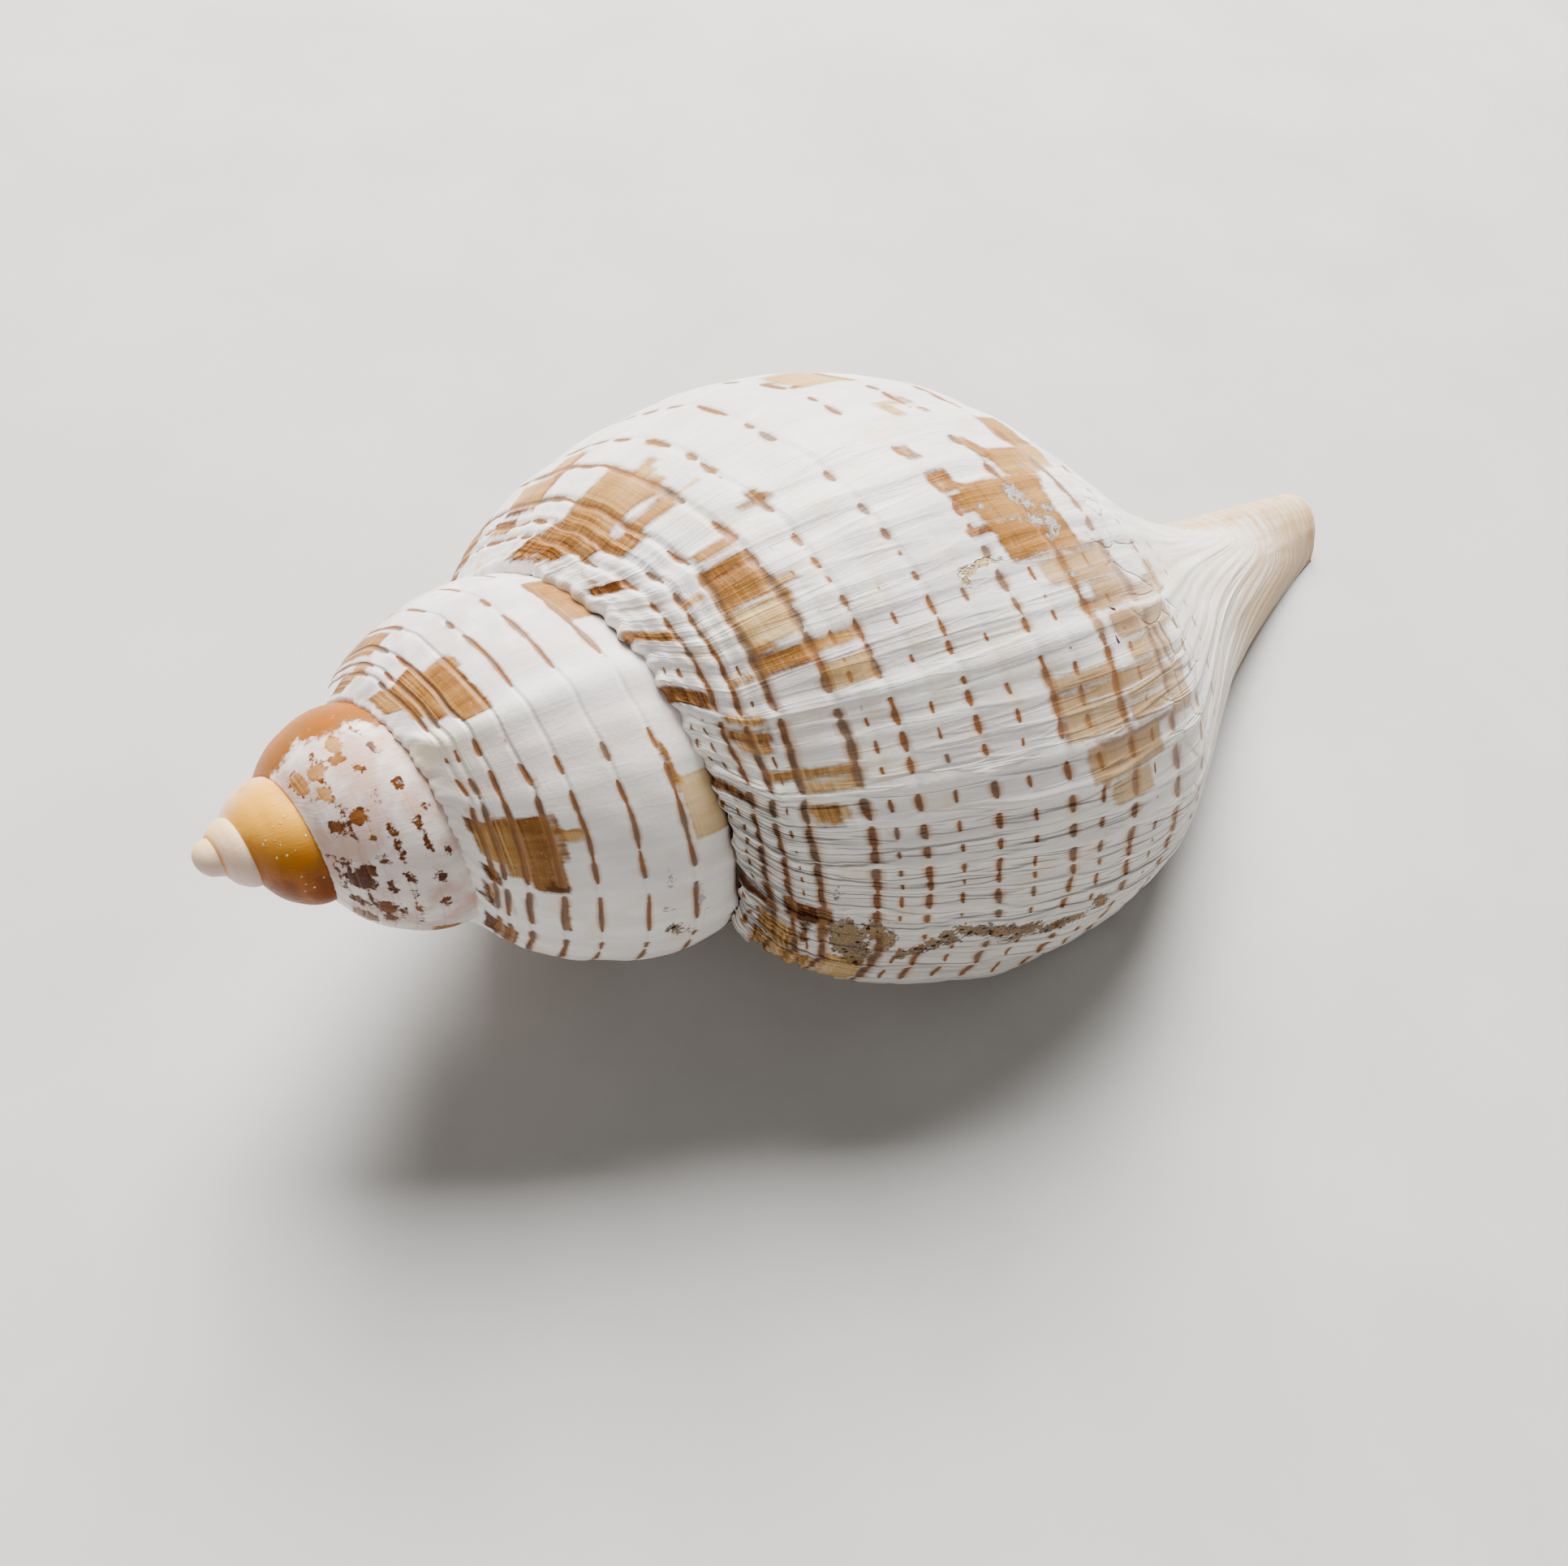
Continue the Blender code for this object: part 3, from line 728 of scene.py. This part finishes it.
def wall_rows(back, lip_height):
    """Turn, radius, height and place past the suture for the inside of the wall, with its ribs."""
    shares = unit(np.log(lip_height / lip_height[0]) / np.log(LENGTH / lip_height[0]))
    turn, height = hollow_rows(back, shares)
    past = turn_of_height(height) - turn
    turn = turn + lip_shift(turn, past)
    ribs = 0.10 * np.sin(past * 2 * math.pi / RIB_SPACING)
    ribs = ribs * ease(turn, MOUTH_TURN - 0.10, MOUTH_TURN - 0.02)
    ribs = ribs * ease(past, 0.1, 0.3) * (1 - ease(past, 1.2, 1.5))
    radius = inner_radius(turn, height) + ribs
    radius[:, 0] = outer_radius(turn - 1, height)[:, 0]
    return turn, radius, height, past


def add_lip(skin, outside, wall, rim, inner):
    """A thin rounded edge between the outer skin and the inside of the wall."""
    crest = (
        (rim[0] + inner[0]) / 2 + LIP_BULGE / (math.tau * np.maximum(rim[1], 4)),
        0.45 * rim[1] + 0.55 * inner[1],
        (rim[2] + inner[2]) / 2,
        rim[3],
    )
    crest = skin.grid(*(np.stack([values, values]) for values in crest), LIP_EDGE)
    skin.sheet(np.stack([outside, crest[0]]))
    skin.sheet(np.stack([crest[0], wall]))


def fold_relief(turn, height):
    """Three oblique folds low on the columella, faded out before the mouth's edge."""
    total = 0
    for start in FOLDS:
        place = start * np.exp(0.34 * (turn - MOUTH_TURN))
        total = total + 0.42 * np.exp(-(((height - place) / 1.1) ** 2))
    begun = ease(turn, MOUTH_TURN - 0.9, MOUTH_TURN - 0.3)
    ended = ease(turn, MOUTH_TURN - 0.01, MOUTH_TURN - 0.07)
    return total * (begun * ended) * (1 - ease(height, 66, 74))


def add_crown(skin):
    """Closes the first whorl with a low dome."""
    turns = np.linspace(FIRST_TURN, FIRST_TURN + 1, CROWN_ROWS)
    rim_height = suture_height(turns)
    rim_radius = outer_radius(turns, rim_height)
    top = 0.2 * suture_height(FIRST_TURN)
    shares = np.linspace(1, 0.001, CROWN_RINGS)
    turn = spread(turns, len(shares))
    radius = rim_radius[:, None] * shares[None, :]
    height = top + (rim_height[:, None] - top) * (1 - np.sqrt(1 - shares[None, :] ** 2))
    skin.sheet(skin.grid(turn, radius, height, np.full_like(turn, 0.5), OUTSIDE), flip=True)


def add_foot(skin, floor_ends, wall_ends, floor_turn, back):
    """Joins the ends of the wall to the floor behind the open canal."""
    rows = [i for i, value in enumerate(back) if value <= FIRST_OPEN + 0.02]
    for i, j in zip(rows[:-1], rows[1:]):
        a = int(np.argmin(np.abs(floor_turn - back[i])))
        b = int(np.argmin(np.abs(floor_turn - back[j])))
        corners = [wall_ends[i], floor_ends[a], floor_ends[b], wall_ends[j]]
        if a == b:
            del corners[2]
        skin.faces.append(tuple(map(int, corners)))


def shell_object():
    """The skin as one mesh, laid down on its mouth side."""
    skin = build_shell()
    lay = Matrix.Rotation(math.radians(90), 4, "Y") @ Matrix.Rotation(-math.tau * REST_TURN, 4, "Z")
    pose = Matrix.Rotation(AXIS_TILT, 4, "Y") @ lay
    turned = np.concatenate(skin.points) @ np.array(pose.to_3x3()).T + np.array(APEX_PLACE)
    turned[:, 2] = np.maximum(turned[:, 2], 0)
    mesh = bpy.data.meshes.new("shell_skin")
    mesh.from_pydata((turned * MM).tolist(), [], skin.faces)
    for name, parts in skin.notes.items():
        layer = mesh.attributes.new(name, "FLOAT", "POINT")
        layer.data.foreach_set("value", np.concatenate(parts).astype(np.float32))
    mesh.shade_smooth()
    mesh.validate()
    mesh.update()
    shell = bpy.data.objects.new("shell_skin", mesh)
    bpy.context.scene.collection.objects.link(shell)
    return shell


def linear(value):
    """One channel of a display colour, 0 to 255, as the linear value that a shader takes."""
    value = value / 255
    return value / 12.92 if value <= 0.04045 else ((value + 0.055) / 1.055) ** 2.4


def shown(tone):
    """The shader's colour for a display colour. The output of a node stays as it is."""
    return (*map(linear, tone), 1) if isinstance(tone, tuple) else tone


class Net:
    """Short calls for building a node tree."""

    def __init__(self, material):
        material.use_nodes = True
        self.tree = material.node_tree
        self.surface = self.tree.nodes["Principled BSDF"]
        self.kept = {}

    def link(self, value, socket):
        """Feeds a socket with another node's output or with a plain value."""
        if isinstance(value, bpy.types.NodeSocket):
            self.tree.links.new(value, socket)
        else:
            socket.default_value = value

    def node(self, kind, settings, inputs):
        """Makes a node, feeds its inputs with values or with other nodes, and returns its outputs."""
        made = self.tree.nodes.new("ShaderNode" + kind)
        for name, value in settings.items():
            setattr(made, name, value)
        for name, value in inputs.items():
            self.link(value, made.inputs[name])
        return made.outputs

    def note(self, name):
        """One of the values that each point of the mesh carries."""
        if name not in self.kept:
            self.kept[name] = self.node("Attribute", {"attribute_name": name}, {})["Fac"]
        return self.kept[name]

    def body(self):
        """Place on the object itself, in millimetres."""
        if "body" not in self.kept:
            place = self.node("TexCoord", {}, {})["Object"]
            inputs = {0: place, "Scale": 1 / MM}
            self.kept["body"] = self.node("VectorMath", {"operation": "SCALE"}, inputs)[0]
        return self.kept["body"]

    def math(self, kind, a, b=0.0, c=0.0):
        return self.node("Math", {"operation": kind}, {0: a, 1: b, 2: c})[0]

    def times(self, a, b):
        return self.math("MULTIPLY", a, b)

    def plus(self, value, share, base):
        """The base with a share of the value added."""
        return self.math("MULTIPLY_ADD", value, share, base)

    def sway(self, noise, share, base, middle=0.5):
        """The base moved up and down by a share of the noise."""
        return self.plus(self.math("SUBTRACT", noise, middle), share, base)

    def step(self, value, low, high, bottom=0.0, top=1.0):
        """Smooth step of the value from low to high."""
        inputs = {"Value": value, "From Min": low, "From Max": high, "To Min": bottom, "To Max": top}
        return self.node("MapRange", {"interpolation_type": "SMOOTHSTEP"}, inputs)["Result"]

    def by_turn(self, low, high, bottom=0.0, top=1.0):
        return self.step(self.note("turn"), low, high, bottom, top)

    def by_past(self, low, high, bottom=0.0, top=1.0):
        return self.step(self.note("past"), low, high, bottom, top)

    def span(self, value, rise, fall):
        """1 between a rise and a fall, each of them a start and an end."""
        return self.times(self.step(value, *rise), self.step(value, *fall))

    def place(self, x, y):
        return self.node("CombineXYZ", {}, {0: x, 1: y})[0]

    def noise(self, place, scale, detail=3.0, rough=0.55):
        inputs = {"Vector": place, "Scale": scale, "Detail": detail, "Roughness": rough}
        return self.node("TexNoise", {}, inputs)["Fac"]

    def cells(self, place, scale, feature="F1"):
        return self.node("TexVoronoi", {"feature": feature}, {"Vector": place, "Scale": scale})["Distance"]

    def ramp(self, value, stops):
        """Colour of the value, between stops of a place and a colour each."""
        made = self.tree.nodes.new("ShaderNodeValToRGB")
        self.link(value, made.inputs[0])
        elements = made.color_ramp.elements
        while len(elements) < len(stops):
            elements.new(1.0)
        for element, (place, tone) in zip(elements, stops):
            element.position = place
            element.color = shown(tone)
        return made.outputs[0]

    def blend(self, share, first, second, kind="MIX"):
        """Blends two display colours or outputs of nodes."""
        inputs = {"Factor": share, "A": shown(first), "B": shown(second)}
        return self.node("Mix", {"data_type": "RGBA", "blend_type": kind}, inputs)["Result"]

    def paint(self, under, mask, share, tone):
        """Lays a share of the colour over what is under it, where the mask is."""
        return self.blend(self.times(mask, share), under, tone)


class ShellNet(Net):
    """The shell's node tree, with the places and the noises that its layers share."""

    def __init__(self, material):
        super().__init__(material)
        self.age = self.note("age")
        self.past = self.note("past")
        self.turn = self.note("turn")
        self.band = self.note("band")
        self.pull = self.note("pull")
        self.inside = self.note("inside")
        # Growth bands, growth threads and spiral threads.
        self.broad = self.streaks(52.0, 2.2, 2.0)
        self.grain = self.streaks(190.0, 5.0, 3.0)
        self.fine = self.streaks(620.0, 16.0, 3.0)
        self.spiral = self.streaks(7.0, 110.0, 2.0)
        # Unevenness with no direction, from coarse to fine.
        self.mottle = self.noise(self.body(), 0.45, 4.0)
        self.speck = self.noise(self.body(), 3.2, 3.0, 0.6)
        self.crumb = self.noise(self.body(), 7.0, 3.0, 0.65)
        # What each layer raises or sinks: a mask and a height.
        self.raised = []

    def streaks(self, along, across, detail, rows=None):
        """Noise drawn out along the growth or along the spiral, with its own fineness each way."""
        rows = self.past if rows is None else rows
        return self.noise(self.place(self.times(self.age, along), self.times(rows, across)), 1.0, detail)

    def threads(self, along, across):
        """Thin raised threads where the streaks pass their middle value."""
        away = self.math("ABSOLUTE", self.math("SUBTRACT", self.streaks(along, across, 1.0), 0.5))
        return self.step(away, 0.07, 0.0)


# The layers of colour. Numbers that go with turn and past are places on the shell, in turns.


def white_ground(net):
    """White with warm and lilac growth bands, painted shade after the growth step and towards the lip."""
    white = net.blend(net.step(net.broad, 0.36, 0.62), (251, 247, 240), (238, 231, 229))
    lilac = net.times(net.by_turn(2.99, 2.90), net.step(net.mottle, 0.38, 0.62))
    white = net.paint(white, lilac, 0.75, (214, 198, 202))
    white = net.paint(white, net.step(net.mottle, 0.50, 0.72), 0.55, (240, 220, 190))
    beside_step = net.span(net.turn, (2.955, 2.975), (3.05, 2.99))
    beside_step = net.times(beside_step, net.by_past(0.45, 0.05))
    white = net.paint(white, beside_step, 0.6, (246, 228, 188))
    # Painted shade: a lavender band just after the growth step, where the step throws its shade.
    painted_shade_after_step = net.span(net.turn, (2.985, 3.0), (3.06, 3.01))
    white = net.paint(white, painted_shade_after_step, 0.55, (222, 206, 204))
    # Painted shade: the white greys towards the lip, up to 0.45 of a grey.
    return net.blend(net.by_turn(4.08, 4.20, 0.0, 0.45), white, (200, 192, 182))


def brown_patches(net, white):
    """Patches with ragged edges, growth streaks and, near the suture, spiral streaks."""
    ragged = net.sway(net.speck, net.by_turn(2.2, 2.35, 2.6, 0.28), net.note("patch"))
    ragged = net.sway(net.grain, 0.55, ragged)
    patch = net.step(ragged, -0.18, 0.24)
    depth = net.sway(net.broad, 0.50, net.note("depth"))
    depth = net.sway(net.grain, 0.24, depth)
    depth = net.plus(net.step(net.note("patch"), 0.32, 0.05), 0.15, depth)
    depth = net.sway(net.spiral, net.by_past(0.30, 0.14, 0.25, 1.3), depth)
    faint = net.times(net.by_past(0.68, 0.76), net.by_turn(3.995, 4.005))
    brown = net.paint(net.ramp(depth, PATCH_TONES), faint, 0.42, (196, 172, 146))
    cover = net.times(patch, net.step(net.crumb, 0.28, 0.40, 0.78, 1.0))
    return net.blend(cover, white, brown), patch


def spiral_lines(net, skin, patch):
    """Spiral lines, broken into dashes by the growth. They run on inside the patches."""
    nearest = net.math("ROUND", net.band)
    off_line = net.times(net.math("ABSOLUTE", net.math("SUBTRACT", net.band, nearest)), net.note("gap"))
    hue = net.streaks(34.0, 5.1, 1.0, nearest)

    # How strong the pigment is: the pulse, the line's own strength, and some chance.
    strength = net.math("ADD", net.note("pigment"), net.plus(net.pull, 1.5, -0.90))
    strength = net.sway(net.streaks(90.0, 3.7, 2.0, nearest), 1.3, strength)
    strength = net.sway(net.speck, 0.5, strength)
    strength = net.plus(patch, 0.30, strength)
    near_seam = net.times(net.by_past(0.26, 0.18), net.step(net.age, 3.90, 4.00))
    near_seam = net.times(near_seam, net.step(net.pull, 0.5, 0.7))
    strength = net.plus(near_seam, 0.35, strength)
    along = net.step(strength, -0.04, 0.16)

    # How wide the dash is here.
    swell = net.step(strength, -0.15, 1.0, 0.45, 1.25)
    half_width = net.plus(net.pull, 0.0072, 0.0054)
    half_width = net.times(half_width, net.times(swell, net.by_turn(3.7, 2.3, 1.0, 1.6)))
    seam_thin = net.by_past(0.27, 0.15, 0.0, -0.34)
    seam_thin = net.plus(seam_thin, net.by_turn(3.3, 3.5), 1.0)
    half_width = net.times(half_width, net.times(seam_thin, net.step(hue, 0.3, 0.7, 0.8, 1.2)))
    crooked = net.sway(net.crumb, 0.004, off_line)
    across = net.step(crooked, half_width, net.times(half_width, 0.35))
    halo = net.step(crooked, net.times(half_width, 2.0), net.times(half_width, 0.5))

    seen = net.times(net.step(net.pull, 0.03, 0.12), net.by_turn(1.95, 2.2))
    drawn = net.times(net.times(along, across), seen)
    around = net.times(net.times(along, halo), seen)
    ink = net.blend(net.step(hue, 0.46, 0.66), (132, 78, 34), (112, 92, 76))
    ink = net.blend(net.step(strength, 0.6, 1.6, 0.0, 0.55), ink, (84, 50, 26))
    groove = net.times(net.step(off_line, 0.020, 0.0), net.times(seen, net.pull))
    net.raised += [(groove, -0.6), (drawn, -0.06)]
    skin = net.paint(skin, around, 0.60, (190, 138, 82))
    return net.paint(skin, drawn, net.plus(patch, -0.32, 0.92), ink)


def mouth_crust(net, skin):
    """The pitted crust of an old edge, close to the mouth."""
    crust = net.step(net.sway(net.speck, 1.7, net.note("crust"), 0.52), -0.03, 0.12)
    tone = net.blend(net.step(net.crumb, 0.42, 0.56), (172, 136, 88), (84, 56, 28))
    tone = net.paint(tone, net.step(net.mottle, 0.42, 0.58), 0.5, (186, 150, 98))
    pits = net.times(net.step(net.cells(net.body(), 1.7), 0.30, 0.17), crust)
    net.raised += [(crust, net.plus(net.crumb, 2.2, -2.2)), (pits, -1.6)]
    return net.blend(pits, net.paint(skin, crust, 0.86, tone), (44, 30, 20)), crust


def small_damage(net, skin):
    """Chips with a bright broken face, a yellowed scar and pin holes."""
    broken = net.noise(net.body(), 2.6, 6.0, 0.78)
    chip = net.step(net.sway(broken, 2.6, net.note("chip"), 0.56), 0.0, 0.06)
    chip = net.times(chip, net.step(net.note("chip"), -0.35, -0.15))
    skin = net.paint(skin, chip, 0.85, (240, 236, 240))
    scar = net.step(net.sway(net.speck, 0.5, net.note("scar")), -0.02, 0.10)
    scar_tone = net.blend(net.step(net.crumb, 0.52, 0.60), (214, 180, 112), (96, 66, 30))
    skin = net.paint(skin, scar, 0.85, scar_tone)
    hole = net.step(net.note("hole"), 0.0, 0.05)
    net.raised += [(chip, net.plus(broken, 3.0, -2.6)), (scar, net.plus(net.crumb, 1.0, -1.2))]
    net.raised.append((hole, -2.0))
    return net.blend(hole, skin, (70, 30, 14))


def flaking_layers(net, skin):
    """Layers flaking off where the whorl turns in to the base."""
    zone = net.span(net.past, (0.99, 1.06), (1.24, 1.14))
    zone = net.times(zone, net.span(net.turn, (3.93, 3.99), (4.19, 4.12)))
    place = net.place(net.plus(net.grain, 0.5, net.times(net.age, 62.0)), net.times(net.past, 13.0))
    off_edge = net.cells(place, 1.0, "DISTANCE_TO_EDGE")
    crack_and_shade = net.times(net.step(off_edge, 0.07, 0.01), zone)
    net.raised += [(crack_and_shade, -0.35), (zone, off_edge)]
    skin = net.paint(skin, zone, 0.14, (250, 246, 240))
    # Painted shade: the tan along the cracks stands for the thin shade between the flakes.
    return net.paint(skin, crack_and_shade, 0.16, (188, 156, 124))


def apex_whorls(net, skin):
    """Amber whorls near the apex with pale grit, a blush below them and a pale tip."""
    rim = net.sway(net.mottle, 0.12, net.plus(net.past, 0.05, 1.872))
    rim = net.sway(net.speck, 0.05, rim)
    above_rim = net.step(net.math("SUBTRACT", rim, net.turn), 0.0, 0.02)
    # The amber deepens from turn 0.95 to 1.16: partly the whorl's own deeper amber, partly painted shade on
    # its lower side.
    tone = net.blend(net.by_turn(0.95, 1.16), (242, 172, 52), (126, 62, 0))
    tone = net.blend(net.by_turn(1.45, 1.80), tone, (146, 94, 28))
    tone = net.blend(net.step(net.mottle, 0.44, 0.62, 0.0, 0.55), tone, (184, 106, 14))
    skin = net.paint(skin, above_rim, net.by_turn(0.62, 0.92), tone)
    blush = net.span(net.turn, (2.34, 2.16), (1.7, 1.9))
    blush = net.times(blush, net.step(net.mottle, 0.40, 0.62, 0.35, 0.85))
    skin = net.blend(blush, skin, (232, 204, 190), "MULTIPLY")
    tip = net.blend(net.by_turn(0.20, -0.25), (232, 202, 186), (250, 210, 140))
    seam = net.times(net.by_past(0.20, 0.02), net.by_turn(0.75, 0.35))
    tip = net.paint(tip, seam, 0.85, (224, 152, 70))
    skin = net.blend(net.by_turn(0.85, 0.6), skin, tip)
    grit = net.times(net.step(net.cells(net.body(), 1.7), 0.16, 0.10), net.by_turn(1.95, 1.5))
    grit = net.times(grit, net.by_turn(0.9, 1.05))
    net.raised.append((grit, 0.5))
    return net.paint(skin, grit, 0.8, (252, 226, 180))


def canal(net, skin):
    """White with tan growth streaks, tan at the tip."""
    neck = net.times(net.by_past(1.16, 1.34), net.by_turn(3.2, 3.3))
    streaked = net.blend(net.step(net.grain, 0.42, 0.62), (248, 242, 232), (222, 196, 164))
    skin = net.paint(skin, neck, 0.45, streaked)
    tan_edge = net.sway(net.broad, 0.10, net.age)
    upper_edge = net.plus(net.turn, -4.0, net.plus(net.broad, 0.3, net.past))
    tip = net.math("MAXIMUM", net.step(tan_edge, 4.04, 4.16), net.step(upper_edge, -14.10, -13.75))
    tip = net.times(tip, net.by_past(1.36, 1.60))
    tip = net.times(tip, net.step(net.grain, 0.30, 0.62, 0.55, 1.0))
    return net.paint(skin, tip, 0.80, (206, 162, 104))


def lining(net, skin):
    """Porcelain white inside, with a peach edge on the lip."""
    inner = net.blend(net.step(net.mottle, 0.4, 0.65), (250, 240, 228), (244, 220, 196))
    inner = net.blend(net.by_turn(4.14, 4.23, 0.0, 0.6), inner, (230, 172, 122))
    return net.blend(net.step(net.inside, 0.3, 0.8), skin, inner)


def dullness(net, crust):
    """Duller towards the mouth, on the crust and on specks."""
    dull = net.plus(net.fine, 0.12, 0.34)
    dull = net.plus(net.by_turn(3.98, 4.16), 0.14, dull)
    dull = net.plus(crust, 0.30, dull)
    return net.plus(net.step(net.speck, 0.45, 0.7), 0.08, dull)


def fine_relief(net):
    """Growth threads, spiral threads and what the layers raise or sink, weaker inside the shell."""
    near_suture = net.by_past(0.24, 0.02, 0.0, 1.2)
    near_suture = net.plus(near_suture, net.by_turn(3.90, 4.06, 0.1, 1.0), 1.0)
    late = net.times(net.by_turn(4.04, 4.13, 0.12, 1.0), net.by_turn(3.1, 3.8, 0.15, 1.0))
    late = net.times(late, net.by_past(0.95, 1.25, 1.0, 0.3))
    threads = net.times(net.threads(85.0, 1.6), net.times(late, 1.3))
    threads = net.plus(net.threads(210.0, 3.5), net.times(late, 0.6), threads)
    grained = net.math("ADD", net.grain, net.times(net.fine, 0.4))
    threads = net.plus(grained, net.by_turn(4.02, 4.10, 0.035, 0.15), threads)
    threads = net.times(threads, near_suture)
    height = net.plus(net.spiral, net.by_turn(2.4, 3.6, 0.02, 0.07), threads)
    for mask, rise in net.raised:
        height = net.plus(mask, rise, height)
    height = net.plus(net.speck, net.by_turn(2.2, 3.4, 0.05, 0.16), height)
    height = net.times(height, net.step(net.inside, 0.6, 0.3, 0.2, 1.0))
    return net.node("Bump", {}, {"Height": height, "Distance": BUMP_HEIGHT, "Strength": 1.0})[0]


def shell_material():
    """Enamel in layers, from the white ground up to the lining."""
    material = bpy.data.materials.new("shell_enamel")
    net = ShellNet(material)
    skin = white_ground(net)
    skin, patch = brown_patches(net, skin)
    skin = spiral_lines(net, skin, patch)
    skin, crust = mouth_crust(net, skin)
    for layer in (small_damage, flaking_layers, apex_whorls, canal, lining):
        skin = layer(net, skin)
    net.link(skin, net.surface.inputs["Base Color"])
    net.link(dullness(net, crust), net.surface.inputs["Roughness"])
    net.link(fine_relief(net), net.surface.inputs["Normal"])
    net.surface.inputs["Subsurface Weight"].default_value = 0.03
    net.surface.inputs["Subsurface Radius"].default_value = (1.0, 0.6, 0.4)
    net.surface.inputs["Subsurface Scale"].default_value = 0.0012
    net.surface.inputs["IOR"].default_value = 1.5
    net.surface.inputs["Specular IOR Level"].default_value = 0.16
    return material


def floor_material():
    material = bpy.data.materials.new("studio_floor")
    net = Net(material)
    grain = net.step(net.noise(net.body(), 0.05, 4.0), 0.3, 0.7)
    net.link(net.blend(grain, (186, 185, 183), (194, 193, 191)), net.surface.inputs["Base Color"])
    net.surface.inputs["Roughness"].default_value = 0.8
    return material


def studio():
    """Pale floor, soft light from above and two weak fills."""
    mesh = bpy.data.meshes.new("studio_floor")
    corners = [(-FLOOR, -FLOOR, 0), (FLOOR, -FLOOR, 0), (FLOOR, FLOOR, 0), (-FLOOR, FLOOR, 0)]
    mesh.from_pydata(corners, [], [(0, 1, 2, 3)])
    floor = bpy.data.objects.new("studio_floor", mesh)
    floor.location.z = -FLOOR_GAP
    mesh.materials.append(floor_material())
    bpy.context.scene.collection.objects.link(floor)

    for name, place, width, power, tint in LAMPS:
        light = bpy.data.lights.new(name, "AREA")
        light.size = width
        light.energy = power
        light.color = tint
        lamp = bpy.data.objects.new(name, light)
        lamp.location = place
        lamp.rotation_euler = (Vector(LIT_PLACE) - Vector(place)).to_track_quat("-Z", "Y").to_euler()
        bpy.context.scene.collection.objects.link(lamp)
    world = bpy.data.worlds.new("studio")
    world.use_nodes = True
    background = world.node_tree.nodes["Background"]
    background.inputs[0].default_value = ROOM_TINT
    background.inputs[1].default_value = ROOM_LIGHT
    bpy.context.scene.world = world


def camera():
    """Looks down on the shell as the picture does."""
    data = bpy.data.cameras.new("view")
    data.sensor_fit = "HORIZONTAL"
    data.sensor_width = EYE_SENSOR
    data.lens = EYE_LENS
    data.clip_start = 0.01
    data.clip_end = 20.0
    eye = bpy.data.objects.new("view", data)
    eye.location = EYE_PLACE
    eye.rotation_euler = [math.radians(angle) for angle in EYE_ANGLES]
    bpy.context.scene.collection.objects.link(eye)
    bpy.context.scene.camera = eye


shell = shell_object()
shell.data.materials.append(shell_material())
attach(shell, "root")
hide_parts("shell")
studio()
camera()
